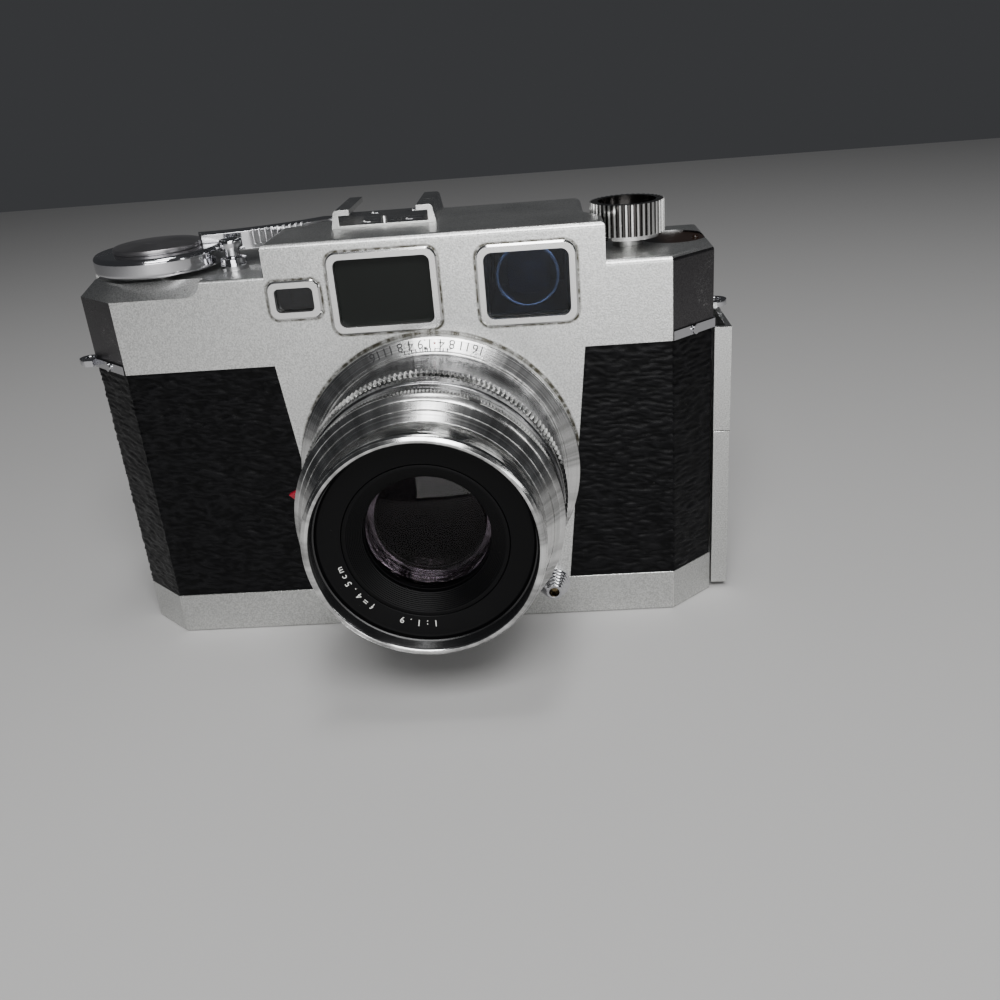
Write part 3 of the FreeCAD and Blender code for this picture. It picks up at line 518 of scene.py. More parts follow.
@dataclass(frozen=True)
class SatinCover(Finish):
    """Satin chrome over a blasted pressing, with painted contact shade and dirt round its windows and lens."""

    metallic: float = 1.0
    shades_rims: bool = False
    coarse: float = 0.36
    rim_gap: float = 0.12
    mount_radius: float = 30.05

    def wire(self, sheet: Sheet, shader: bpy.types.Node) -> None:
        """Grain, clouding, specks, hairlines, worn edges and lines of painted contact shade and dirt.

        Args:
            sheet: helper for the node tree that is being filled.
            shader: the material's Principled shader.
        """
        grain = sheet.group(Grain(), Size=0.30, Cloud_Size=14.0)
        dark = tuple((1.0 - self.coarse) * c for c in self.colour)
        tone = sheet.mix(sheet.ramp(grain.outputs["Grain"], 0.30, 0.70), dark, self.colour)
        cloud = sheet.ramp(grain.outputs["Cloud"], 0.35, 0.75, 0.0, 0.22)
        tone = sheet.mix(cloud, tone, tuple(0.72 * c for c in self.colour))
        specks = sheet.group(Specks(), Spacing=3.0, Dot_Size=0.11, Share=0.22)
        tone = sheet.mix(sheet.math("MULTIPLY", specks.outputs["Dots"], 0.85), tone, (0.05, 0.045, 0.03))
        tone = sheet.mix(sheet.math("MULTIPLY", specks.outputs["Scratches"], 0.25), tone, (0.95, 0.95, 0.93))
        # painted contact shade and dirt round the window rims and the lens mount
        if self.shades_rims:
            tone = self.paint_rim_shade(sheet, tone)
        wear = sheet.group(EdgeWear(), Breakup=0.42).outputs["Mask"]
        tone = sheet.mix(sheet.math("MULTIPLY", wear, 0.6), tone, (0.90, 0.90, 0.88))
        sheet.feed(shader.inputs["Base Color"], tone)
        rough = sheet.math("MULTIPLY_ADD", grain.outputs["Cloud"], 0.14, self.roughness - 0.07)
        rough = sheet.math("SUBTRACT", rough, sheet.math("MULTIPLY", wear, 0.12))
        sheet.feed(shader.inputs["Roughness"], rough)
        self.relief(sheet, shader, grain.outputs["Grain"], 0.10 * self.coarse)

    def paint_rim_shade(self, sheet: Sheet, tone: Socket) -> Socket:
        """Painted contact shade and dirt: dark lines round the three window rims and the lens, patchy with noise.

        Args:
            sheet: helper for the node tree that is being filled.
            tone: the colour so far.

        Returns:
            The colour with its painted shade and dirt.
        """
        masks = []
        for window in FrontWindows().frames:
            (x, z), (wide, tall) = window.middle(), window.half()
            masks.append(sheet.group(
                RimShadeAndGrime(), Centre_X=x, Centre_Z=z, Half_Width=wide + self.rim_gap, Half_Height=tall + self.rim_gap,
                Corner=window.corner, Line=0.55).outputs["Mask"])
        masks.append(sheet.group(
            RimShadeAndGrime(), Centre_X=LENS_X, Centre_Z=LENS_Z, Half_Width=self.mount_radius,
            Half_Height=self.mount_radius, Corner=self.mount_radius, Line=0.6).outputs["Mask"])
        whole = masks[0]
        for mask in masks[1:]:
            whole = sheet.math("MAXIMUM", whole, mask)
        patchy = sheet.ramp(sheet.noise(sheet.here(), 700.0, 4.0, 0.7), 0.30, 0.62, 0.35, 1.0)
        # darken along the lines: painted contact shade and dirt
        return sheet.mix(sheet.math("MULTIPLY", whole, patchy), tone, (0.06, 0.055, 0.04))


@dataclass(frozen=True)
class Chrome(Finish):
    """Polished chrome with a trace of haze and fine hairlines."""

    metallic: float = 1.0
    haze: float = 0.06

    def wire(self, sheet: Sheet, shader: bpy.types.Node) -> None:
        """Roughness that clouds and brightens along scratches.

        Args:
            sheet: helper for the node tree that is being filled.
            shader: the material's Principled shader.
        """
        grain = sheet.group(Grain(), Size=0.5, Cloud_Size=5.0)
        specks = sheet.group(Specks(), Spacing=1.6, Dot_Size=0.07, Share=0.25)
        rough = sheet.math("MULTIPLY_ADD", grain.outputs["Cloud"], self.haze * 2, self.roughness)
        rough = sheet.math("MULTIPLY_ADD", specks.outputs["Scratches"], 0.25, rough)
        sheet.feed(shader.inputs["Roughness"], rough)
        tone = sheet.mix(sheet.math("MULTIPLY", specks.outputs["Dots"], 0.7), self.colour, (0.08, 0.07, 0.05))
        sheet.feed(shader.inputs["Base Color"], tone)
        self.relief(sheet, shader, grain.outputs["Grain"], 0.0015)


@dataclass(frozen=True)
class TurnedMetal(Finish):
    """Lathe-turned metal: its grooves run round the lens axis."""

    metallic: float = 1.0
    streaks: float = 0.25
    pitch: float = 0.10
    depth: float = 0.004

    def wire(self, sheet: Sheet, shader: bpy.types.Node) -> None:
        """Ring relief, painted reflection streaks, painted light and shade round the ring, and painted shade in the
        tooth gaps.

        Args:
            sheet: helper for the node tree that is being filled.
            shader: the material's Principled shader.
        """
        marks = sheet.group(RingsAndPaintedStreaks(), Ring_Pitch=self.pitch, Streaks_Round=150.0)
        broad = sheet.group(RingsAndPaintedStreaks(), Ring_Pitch=0.5, Streaks_Round=34.0)
        # painted reflection streaks, and painted light and shade that change round the ring
        painted_streaks = sheet.math("MULTIPLY", sheet.ramp(marks.outputs["Streaks"], 0.35, 0.72), self.streaks)
        dim = tuple(0.40 * c for c in self.colour)
        tone = sheet.mix(sheet.ramp(broad.outputs["Streaks"], 0.34, 0.66), dim, self.colour)
        tone = sheet.mix(painted_streaks, tone, (0.95, 0.95, 0.94))
        tone = sheet.mix(sheet.ramp(broad.outputs["Rings"], 0.4, 0.7, 0.0, 0.25), tone, dim)
        specks = sheet.group(Specks(), Spacing=2.0, Dot_Size=0.09, Share=0.25)
        tone = sheet.mix(sheet.math("MULTIPLY", specks.outputs["Dots"], 0.8), tone, (0.05, 0.045, 0.035))
        # painted shade in the gaps between the teeth
        painted_gap_shade = sheet.node("Attribute", attribute_name="painted_gap_shade").outputs["Fac"]
        tone = sheet.mix(sheet.math("MULTIPLY", painted_gap_shade, 0.9), tone, (0.03, 0.03, 0.03))
        sheet.feed(shader.inputs["Base Color"], tone)
        rough = sheet.math("MULTIPLY_ADD", marks.outputs["Rings"], 0.16, self.roughness - 0.08)
        sheet.feed(shader.inputs["Roughness"], rough)
        self.relief(sheet, shader, marks.outputs["Rings"], self.depth)


@dataclass(frozen=True)
class Leather(Finish):
    """Black grained leatherette with a soft sheen."""

    def wire(self, sheet: Sheet, shader: bpy.types.Node) -> None:
        """Pores over the modelled wrinkles, and a painted highlight on the crests.

        Args:
            sheet: helper for the node tree that is being filled.
            shader: the material's Principled shader.
        """
        grain = sheet.group(Grain(), Size=0.22, Cloud_Size=11.0)
        crest = sheet.node("Attribute", attribute_name="crest").outputs["Fac"]
        specks = sheet.group(Specks(), Spacing=2.4, Dot_Size=0.07, Share=0.22)
        # paler crests: painted highlight
        tone = sheet.mix(sheet.math("MULTIPLY", crest, 0.8), self.colour, (0.009, 0.009, 0.010))
        tone = sheet.mix(sheet.math("MULTIPLY", specks.outputs["Dots"], 0.55), tone, (0.22, 0.21, 0.20))
        sheet.feed(shader.inputs["Base Color"], tone)
        rough = sheet.math("MULTIPLY_ADD", grain.outputs["Cloud"], 0.16, self.roughness - 0.08)
        rough = sheet.math("SUBTRACT", rough, sheet.math("MULTIPLY", crest, 0.08))
        sheet.feed(shader.inputs["Roughness"], rough)
        self.relief(sheet, shader, grain.outputs["Grain"], 0.035)


@dataclass(frozen=True)
class Blackened(Finish):
    """Black paint or blackened metal that wears through at its edges."""

    under: Colour = (0.62, 0.60, 0.55)

    def wire(self, sheet: Sheet, shader: bpy.types.Node) -> None:
        """Orange-peel relief, dust and bright worn edges.

        Args:
            sheet: helper for the node tree that is being filled.
            shader: the material's Principled shader.
        """
        grain = sheet.group(Grain(), Size=0.3, Cloud_Size=5.0)
        specks = sheet.group(Specks(), Spacing=1.7, Dot_Size=0.05, Share=0.3)
        wear = sheet.group(EdgeWear(), Breakup=0.60).outputs["Mask"]
        tone = sheet.mix(sheet.math("MULTIPLY", specks.outputs["Dots"], 0.5), self.colour, (0.2, 0.2, 0.19))
        sheet.feed(shader.inputs["Base Color"], sheet.mix(wear, tone, self.under))
        rough = sheet.math("MULTIPLY_ADD", grain.outputs["Cloud"], 0.2, self.roughness - 0.1)
        sheet.feed(shader.inputs["Roughness"], rough)
        self.relief(sheet, shader, grain.outputs["Grain"], 0.005)


@dataclass(frozen=True)
class Glass(Finish):
    """Clear or tinted glass with dust and a faint smear; a low index stands for a coating that reflects little."""

    index: float = 1.52

    def wire(self, sheet: Sheet, shader: bpy.types.Node) -> None:
        """Plain transmission; smears touch the roughness and dust the colour.

        Args:
            sheet: helper for the node tree that is being filled.
            shader: the material's Principled shader.
        """
        shader.inputs["Transmission Weight"].default_value = 1.0
        shader.inputs["IOR"].default_value = self.index
        grain = sheet.group(Grain(), Size=0.4, Cloud_Size=7.0)
        smear = sheet.ramp(grain.outputs["Cloud"], 0.55, 0.8, self.roughness, self.roughness + 0.02)
        sheet.feed(shader.inputs["Roughness"], smear)
        specks = sheet.group(Specks(), Spacing=1.9, Dot_Size=0.06, Share=0.3)
        dust = sheet.math("MULTIPLY", specks.outputs["Dots"], 0.5)
        sheet.feed(shader.inputs["Base Color"], sheet.mix(dust, self.colour, (0.5, 0.5, 0.48)))


@dataclass(frozen=True)
class Ribbed(Chrome):
    """Chrome with painted shade in the gaps between upright ribs and on the dished top."""

    centre: Tuple[float, float] = (49.5, -1.4)
    gap: float = 7.5
    low: float = 83.2

    def wire(self, sheet: Sheet, shader: bpy.types.Node) -> None:
        """Darken what lies nearer the axis than the ribs, and the dished top, as painted shade.

        Args:
            sheet: helper for the node tree that is being filled.
            shader: the material's Principled shader.
        """
        super().wire(sheet, shader)
        tone = shader.inputs["Base Color"].links[0].from_socket
        parts = sheet.node("SeparateXYZ")
        sheet.feed(parts.inputs[0], sheet.here())
        x, y = (sheet.math("SUBTRACT", sheet.math("MULTIPLY", parts.outputs[i], PER_METRE), self.centre[i])
                for i in (0, 1))
        away = sheet.math("SQRT", sheet.math("ADD", sheet.math("MULTIPLY", x, x), sheet.math("MULTIPLY", y, y)))
        height = sheet.math("MULTIPLY", parts.outputs[2], PER_METRE)
        inside = sheet.ramp(away, self.gap - 0.12, self.gap + 0.05, 1.0, 0.0)
        above = sheet.math("GREATER_THAN", height, self.low)
        # painted shade in the rib gaps and on the dished top
        gaps = sheet.math("MULTIPLY", sheet.math("MULTIPLY", inside, above), 0.93)
        sheet.feed(shader.inputs["Base Color"], sheet.mix(gaps, tone, (0.035, 0.03, 0.028)))


@dataclass(frozen=True)
class InkFill(Finish):
    """Paint filling of an engraving."""

    def wire(self, sheet: Sheet, shader: bpy.types.Node) -> None:
        """Slightly uneven colour where the filling has thinned.

        Args:
            sheet: helper for the node tree that is being filled.
            shader: the material's Principled shader.
        """
        grain = sheet.group(Grain(), Size=0.16, Cloud_Size=2.0)
        paler = tuple(min(1.0, 0.75 * c + 0.04) for c in self.colour)
        thin = sheet.ramp(grain.outputs["Grain"], 0.45, 0.8, 0.0, 0.6)
        sheet.feed(shader.inputs["Base Color"], sheet.mix(thin, self.colour, paler))
        self.relief(sheet, shader, grain.outputs["Grain"], 0.003)


SATIN = SatinCover("satin_cover", (0.88, 0.885, 0.87), 0.34, slot="satin_cover", shades_rims=True)
SATIN_PLAIN = SatinCover("satin_cover_plain", (0.72, 0.725, 0.71), 0.34, slot="satin_cover")
# darker copy of the satin cover for its end faces: painted shade
SATIN_SHADED_ENDS = SatinCover("satin_cover_ends_painted_shade", (0.13, 0.125, 0.13), 0.30, slot="satin_cover")
RIM = SatinCover("window_rim", (0.95, 0.95, 0.94), 0.16, slot="satin_cover", coarse=0.04)
LEATHER = Leather("leatherette", (0.0010, 0.0010, 0.0013), 0.34, slot="leatherette", shine=0.11)
CAST = Blackened("cast_black", (0.004, 0.004, 0.005), 0.62, slot="cast_black", shine=0.15)
THREAD = Blackened("black_thread", (0.006, 0.006, 0.0065), 0.22, slot="black_paint", shine=0.7)
PAINT = Blackened("black_paint", (0.0022, 0.0022, 0.0025), 0.34, slot="black_paint", shine=0.12)
CHROME = Chrome("polished_chrome", (0.60, 0.60, 0.62), 0.05, slot="polished_chrome")
CHROME_WORN = Chrome("shoe_chrome", (0.70, 0.70, 0.69), 0.12, slot="polished_chrome", haze=0.1)
CAP = Chrome("brushed_cap", (0.40, 0.39, 0.40), 0.24, slot="brushed_cap", haze=0.1)
STEEL = Chrome("steel", (0.45, 0.45, 0.44), 0.28, slot="steel", haze=0.12)
TURNED = TurnedMetal("turned_aluminium", (0.80, 0.80, 0.79), 0.24, slot="turned_aluminium", streaks=0.45)
BAND = TurnedMetal("turned_band", (0.40, 0.40, 0.41), 0.24, slot="turned_aluminium", streaks=0.05, depth=0.0012)
GRIP = TurnedMetal("knurled_grip", (0.82, 0.82, 0.81), 0.16, slot="turned_aluminium", streaks=0.0)
RIM_TURNED = TurnedMetal("turned_rim", (0.88, 0.88, 0.87), 0.14, slot="turned_aluminium", streaks=0.3,
                         pitch=0.22, depth=0.006)
BRASS = TurnedMetal("turned_brass", (0.55, 0.42, 0.20), 0.30, slot="turned_brass", streaks=0.1)
CONTACT = Chrome("brass_contact", (0.20, 0.15, 0.08), 0.22, slot="brass_contact")
RED = Finish("red_paint", (0.30, 0.004, 0.02), 0.22, slot="red_paint")
BLADES = Blackened("blade_steel", (0.0022, 0.0022, 0.0024), 0.45, slot="blade_steel", shine=0.1)
PLASTIC = Finish("black_plastic", (0.012, 0.012, 0.013), 0.3, slot="black_plastic")
DIAL = Finish("dial_face", (0.016, 0.008, 0.005), 0.3, slot="black_paint", shine=0.3)
MIRROR = Chrome("mirror_glass", (0.9, 0.9, 0.9), 0.02, slot="mirror_glass")
WINDOW = Glass("window_glass", (0.20, 0.25, 0.36), 0.0, slot="window_glass", shine=0.1, index=1.35)
SMALL_WINDOW = Glass("small_window_glass", (0.05, 0.065, 0.10), 0.0, slot="window_glass", shine=0.12)
FROSTED = Finish("frosted_glass", (0.010, 0.0115, 0.0105), 0.12, slot="frosted_glass", shine=0.15)
COATED = Glass("coated_glass", (0.55, 0.50, 0.54), 0.0, slot="coated_glass", shine=0.16, index=1.2)
OBJECTIVE = Glass("objective_glass", (0.10, 0.13, 0.20), 0.0, slot="coated_glass", shine=0.16, index=1.3)
# middle glass: amber from its coating, darkened nearly to black as painted shade for the dark inside of the lens
AMBER_SHADED = Glass("coated_amber_glass_painted_shade", (0.05, 0.032, 0.018), 0.0, slot="coated_glass", shine=0.16, index=1.2)
KNOB = Ribbed("knob_chrome", (0.78, 0.78, 0.77), 0.14, slot="polished_chrome")
FLOOR_PAINT = Finish("pale_floor", (0.56, 0.555, 0.55), 0.8)


# ---------------------------------------------------------------- mesh helpers
def finish_mesh(name: str, bm: bmesh.types.BMesh, finish: Finish, body: str, angle: float = 30.0,
                stands_for: Sequence[str] = (), recalc: bool = True) -> bpy.types.Object:
    """Turn a bmesh into a finished piece that rides on a body.

    Args:
        name: name of the piece.
        bm: the mesh, in metres in the row frame; it is freed.
        finish: material of the piece.
        body: CAD body that it moves with.
        angle: edges sharper than this, in degrees, stay sharp.
        stands_for: CAD nodes that it replaces.
        recalc: whether normals are pointed outwards first.

    Returns:
        The new object.
    """
    if recalc:
        bmesh.ops.recalc_face_normals(bm, faces=bm.faces)
    mesh = bpy.data.meshes.new(name)
    bm.to_mesh(mesh)
    bm.free()
    for polygon in mesh.polygons:
        polygon.use_smooth = True
    mesh.set_sharp_from_angle(angle=math.radians(angle))
    mesh.materials.append(finish.material())
    made = bpy.data.objects.new(name, mesh)
    bpy.context.scene.collection.objects.link(made)
    weigh_normals(made)
    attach(made, body)
    if stands_for:
        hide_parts(*stands_for)
    return made


def weigh_normals(made: bpy.types.Object) -> None:
    """Give a mesh normals weighted by face area, so that flats stay flat beside bevels.

    Args:
        made: the object whose mesh is replaced.
    """
    modifier = made.modifiers.new("flats", "WEIGHTED_NORMAL")
    modifier.keep_sharp = True
    graph = bpy.context.evaluated_depsgraph_get()
    fresh = bpy.data.meshes.new_from_object(made.evaluated_get(graph))
    made.modifiers.remove(modifier)
    old, made.data = made.data, fresh
    fresh.name = old.name
    bpy.data.meshes.remove(old)


def bevel_edges(bm: bmesh.types.BMesh, width: float, angle: float = 28.0, segments: int = 2) -> None:
    """Round the sharp edges and mark the new faces as worn.

    Args:
        bm: the mesh.
        width: bevel width in millimetres.
        angle: edges sharper than this, in degrees, are rounded.
        segments: steps across each bevel.
    """
    sharp = [e for e in bm.edges if len(e.link_faces) == 2 and e.calc_face_angle(0.0) > math.radians(angle)]
    layer = bm.loops.layers.float.get("wear") or bm.loops.layers.float.new("wear")
    made = bmesh.ops.bevel(bm, geom=sharp, offset=width * MM, offset_type="OFFSET", segments=segments, profile=0.5,
                           affect="EDGES", clamp_overlap=True, material=-1, loop_slide=True)
    for face in made["faces"]:
        for loop in face.loops:
            loop[layer] = 1.0


def spun(profile: Profile, steps: int = 192, closed: bool = True, axis: Axis = Axis.LENS,
         centre: Tuple[float, float] = (0.0, 0.0)) -> bmesh.types.BMesh:
    """Turn an outline about the lens axis or about an upright axis.

    Args:
        profile: (radius, distance) points; the distance is ahead of the front face, or a height.
        steps: steps round.
        closed: whether the last point joins the first.
        axis: what the outline is turned about.
        centre: (x, y) of an upright axis.

    Returns:
        The turned mesh.
    """
    bm = bmesh.new()
    verts = []
    for r, d in profile:
        place = (LENS_X + r, FRONT - d, LENS_Z) if axis is Axis.LENS else (centre[0] + r, centre[1], d)
        verts.append(bm.verts.new(Vector(place) * MM))
    pairs = list(zip(verts, verts[1:])) + ([(verts[-1], verts[0])] if closed else [])
    edges = [bm.edges.new(pair) for pair in pairs]
    turn = Vector((0, 1, 0)) if axis is Axis.LENS else Vector((0, 0, 1))
    hub = Vector((LENS_X, 0, LENS_Z) if axis is Axis.LENS else (centre[0], centre[1], 0)) * MM
    bmesh.ops.spin(bm, geom=verts + edges, cent=hub, axis=turn, dvec=(0, 0, 0), angle=math.tau, steps=steps,
                   use_merge=True, use_duplicate=False)
    bmesh.ops.remove_doubles(bm, verts=bm.verts, dist=WELD)
    bmesh.ops.dissolve_degenerate(bm, edges=bm.edges, dist=WELD)
    return bm


class CadCopies:
    """Makes merged, softened copies of CAD nodes and dresses the nodes that stay."""

    def __init__(self, frame: Dict[str, object]) -> None:
        """Keep the loaded frame."""
        self.nodes = frame["nodes"]
        self.body_of = {n: b for b, names in frame["record"]["behaviour"]["bodies"].items() for n in names}

    def copy(self, node: str) -> bmesh.types.BMesh:
        """Merged copy of a node with its flat faces joined up.

        Args:
            node: CAD node.

        Returns:
            The merged mesh.
        """
        bm = bmesh.new()
        bm.from_mesh(self.nodes[node].data)
        bmesh.ops.remove_doubles(bm, verts=bm.verts, dist=CAD_WELD)
        bmesh.ops.dissolve_limit(bm, angle_limit=math.radians(FLAT_ANGLE), verts=bm.verts, edges=bm.edges)
        return bm

    def soften(self, node: str, finish: Finish, width: float, segments: int = 2,
               angle: float = 28.0) -> bpy.types.Object:
        """Replace a node by a copy with rounded edges.

        Args:
            node: CAD node.
            finish: its finish.
            width: bevel width in millimetres.
            segments: steps across each bevel.
            angle: edges sharper than this, in degrees, are rounded.

        Returns:
            The piece that stands for the node.
        """
        bm = self.copy(node)
        bevel_edges(bm, width, angle, segments)
        return finish_mesh(node + "_dressed", bm, finish, self.body_of[node], 40.0, (node,), recalc=False)

    def paint(self, node: str, finish: Finish) -> None:
        """Give a node that stays its finish.

        Args:
            node: CAD node.
            finish: its finish.
        """
        mesh = self.nodes[node].data
        mesh.materials.clear()
        mesh.materials.append(finish.material())


# ---------------------------------------------------------------- outlines about the lens axis
def eased(profile: Profile, radius: float, steps: int = 3) -> List[Tuple[float, float]]:
    """Outline with each corner rounded off.

    Args:
        profile: closed outline.
        radius: rounding in millimetres, less where a side is short.
        steps: points along each rounding.

    Returns:
        The rounded outline.
    """
    made = []
    count = len(profile)
    for i, point in enumerate(profile):
        here, before, after = Vector(point), Vector(profile[i - 1]), Vector(profile[(i + 1) % count])
        cut = min(radius, (before - here).length * EASE_SHARE, (after - here).length * EASE_SHARE)
        start, end = here + (before - here).normalized() * cut, here + (after - here).normalized() * cut
        for step in range(steps):
            t = step / (steps - 1)
            made.append(tuple(start * (1 - t) ** 2 + here * 2 * t * (1 - t) + end * t ** 2))
    return made


def lens_outline(edge: float, back: float, rim: float, vertex: float, steps: int = 20) -> List[Tuple[float, float]]:
    """Half section of a glass with a flat back and a domed front.

    Args:
        edge: its radius.
        back: where the flat back lies, ahead of the front face.
        rim: where the dome starts.
        vertex: where the dome ends on the axis.
        steps: points along the dome.

    Returns:
        The open outline, from the axis round to the axis.
    """
    rise = vertex - rim
    curve = (edge ** 2 + rise ** 2) / (2 * rise)
    made = [(0.0, back), (edge, back)]
    for i in range(steps + 1):
        r = edge * math.cos(math.pi / 2 * i / steps)
        made.append((r, vertex - curve + math.sqrt(curve ** 2 - r ** 2)))
    return made


def ridges(start: Tuple[float, float], end: Tuple[float, float], count: int, depth: float) -> List[Tuple[float, float]]:
    """Zigzag of fine ridges from one point of an outline to another.

    Args:
        start: first point.
        end: last point.
        count: number of ridges.
        depth: how far the grooves go to the left of the line.

    Returns:
        The points of the zigzag.
    """
    a, b = Vector(start), Vector(end)
    side = Vector((-(b - a).y, (b - a).x)).normalized() * depth
    made = []
    for i in range(count):
        made.append(tuple(a.lerp(b, i / count)))
        made.append(tuple(a.lerp(b, (i + 0.5) / count) + side))
    return made + [tuple(b)]


@dataclass
class Mark:
    """One engraved mark: text, or a block when the text is empty."""

    clock: float
    text: str = ""
    width: float = 0.15
    height: float = 1.0
    shift: float = 0.0


@dataclass
class Scale:
    """A row of marks on a ring.

    The row sits at (radius, ahead); up is the direction of a letter's top in the outline's plane,
    out is the surface's outward direction there.
    """

    name: str
    body: str
    ink: InkFill
    radius: float
    ahead: float
    up: Tuple[float, float]
    out: Tuple[float, float]
    reading: Reading
    marks: List[Mark] = field(default_factory=list)
    lift: float = 0.02

    def build(self) -> bpy.types.Object:
        """All marks of the row as one piece.

        Returns:
            The row's piece.
        """
        whole = bmesh.new()
        for mark in self.marks:
            flat = lettering(mark.text, mark.height) if mark.text else block(mark.width, mark.height)
            self.wrap(flat, mark)
            spare = bpy.data.meshes.new("spare")
            flat.to_mesh(spare)
            flat.free()
            whole.from_mesh(spare)
            bpy.data.meshes.remove(spare)
        self.face_out(whole)
        return finish_mesh(self.name, whole, self.ink, self.body, recalc=False)

    def wrap(self, flat: bmesh.types.BMesh, mark: Mark) -> None:
        """Bend a flat mark round the lens axis.

        Args:
            flat: the mark's mesh, in millimetres.
            mark: where the mark goes.
        """
        up, out = Vector(self.up).normalized(), Vector(self.out).normalized()
        for vert in flat.verts:
            place = Vector((self.radius, self.ahead)) + up * (vert.co.y + mark.shift) + out * self.lift
            angle = math.radians(mark.clock) + self.reading.value * vert.co.x / self.radius
            spot = (LENS_X + place.x * math.sin(angle), FRONT - place.y, LENS_Z + place.x * math.cos(angle))
            vert.co = Vector(spot) * MM

    def face_out(self, bm: bmesh.types.BMesh) -> None:
        """Turn the faces to look away from the ring.

        Args:
            bm: the mesh.
        """
        out = Vector(self.out)
        bm.normal_update()
        for face in bm.faces:
            from_axis = face.calc_center_median() - Vector((LENS_X, 0, LENS_Z)) * MM
            radial = Vector((from_axis.x, 0, from_axis.z)).normalized()
            if face.normal.dot(radial * out.x + Vector((0, -1, 0)) * out.y) < 0:
                face.normal_flip()


def lettering(text: str, height: float) -> bmesh.types.BMesh:
    """Flat letters in millimetres, centred on the origin.

    Args:
        text: what the letters say.
        height: height of a capital in millimetres.

    Returns:
        The letters' mesh.
    """
    curve = bpy.data.curves.new("letters", "FONT")
    curve.body = text
    curve.size = height * LETTER_SIZE
    curve.align_x, curve.align_y = "CENTER", "CENTER"
    curve.resolution_u = 3
    holder = bpy.data.objects.new("letters", curve)
    bpy.context.scene.collection.objects.link(holder)
    graph = bpy.context.evaluated_depsgraph_get()
    mesh = bpy.data.meshes.new_from_object(holder.evaluated_get(graph))
    bm = bmesh.new()
    bm.from_mesh(mesh)
    bpy.data.objects.remove(holder)
    bpy.data.curves.remove(curve)
    bpy.data.meshes.remove(mesh)
    return bm


def block(width: float, height: float) -> bmesh.types.BMesh:
    """Flat bar in millimetres, centred on the origin.

    Args:
        width: its width.
        height: its height.

    Returns:
        The bar's mesh.
    """
    bm = bmesh.new()
    bmesh.ops.create_grid(bm, x_segments=1, y_segments=3, size=0.5)
    for vert in bm.verts:
        vert.co = Vector((vert.co.x * width, vert.co.y * height, 0))
    return bm


BLACK_INK = InkFill("ink_black", Ink.BLACK.value, 0.5)
WHITE_INK = InkFill("ink_white", Ink.WHITE.value, 0.5)
RED_INK = InkFill("ink_red", Ink.RED.value, 0.5)


# ---------------------------------------------------------------- the camera's sub-assemblies
@dataclass(frozen=True)
class WindowFrame:
    """Outline of a window in the front, with its raised rim."""

    left: float
    right: float
    low: float
    high: float
    corner: float

    def middle(self) -> Tuple[float, float]:
        """Centre (x, z)."""
        return (self.left + self.right) / 2, (self.low + self.high) / 2

    def half(self) -> Tuple[float, float]:
        """Half of width and height."""
        return (self.right - self.left) / 2, (self.high - self.low) / 2


@dataclass
class FrontWindows:
    """Rangefinder, frame-line and viewfinder windows with the parts behind them."""

    frames: Tuple[WindowFrame, ...] = (
        WindowFrame(-24.3, -13.4, 72.9, 80.8, 1.9),
        WindowFrame(-11.7, 10.7, 69.0, 85.7, 2.3),
        WindowFrame(18.3, 38.3, 68.7, 85.1, 2.6),
    )
    eye: Tuple[float, float] = (28.3, 77.0)
    ring: Profile = ((5.95, -7.6), (6.7, -7.6), (6.7, -8.6), (5.95, -8.6))

    def dress(self, cad: CadCopies) -> None:
        """Finish the glasses and what shows through them.

        Args:
            cad: the CAD nodes and their copies.
        """
        for node, finish in (("rangefinder_window", SMALL_WINDOW), ("frameline_window", FROSTED),
                             ("viewfinder_window", WINDOW), ("objective_lens", OBJECTIVE), ("beam_splitter", MIRROR),
                             ("rangefinder_mirror", MIRROR), ("viewfinder_tunnel", PAINT), ("eyepiece_glass", WINDOW)):
            cad.paint(node, finish)
        cad.soften("eyepiece_frame", PAINT, 0.18)

    def build(self) -> None:
        """Bright edge of the inner lens."""
        bm = spun(eased([(r, d) for r, d in self.ring], 0.12), 96)
        shift = Vector((self.eye[0] - LENS_X, 0, self.eye[1] - LENS_Z)) * MM
        bmesh.ops.translate(bm, verts=bm.verts, vec=shift)
        finish_mesh("objective_edge", bm, CHROME, "camera")


@dataclass
class Covers:
    """Top cover, base plate, back door and casting."""

    top_edge: float = 0.28
    base_edge: float = 0.35
    door_edge: float = 0.3
    rim_proud: float = 0.06
    rim_reach: float = 0.4
    ends_from: float = 56.5

    def dress(self, cad: CadCopies) -> None:
        """Round the pressings' edges, give the window rims their polish, and give the end faces a darker copy of the
        satin as painted shade.

        Args:
            cad: the CAD nodes and their copies.
        """
        cover = cad.soften("top_cover", SATIN, self.top_edge, 3)
        cover.data.materials.append(RIM.material())
        cover.data.materials.append(SATIN_SHADED_ENDS.material())
        windows = FrontWindows().frames
        for face in cover.data.polygons:
            if face.center.y < (FRONT - self.rim_proud) * MM and any(
                    abs(face.center.x / MM - w.middle()[0]) < w.half()[0] + self.rim_reach
                    and abs(face.center.z / MM - w.middle()[1]) < w.half()[1] + self.rim_reach for w in windows):
                face.material_index = 1
            # end faces take the darker satin copy: painted shade
            elif abs(face.normal.x) > 0.4 and abs(face.center.x / MM) > self.ends_from and abs(face.normal.z) < 0.5:
                face.material_index = 2
        cad.soften("base_plate", SATIN_PLAIN, self.base_edge)
        cad.soften("back_door", SATIN_PLAIN, self.door_edge)
        cad.soften("body_casting", CAST, 0.12)


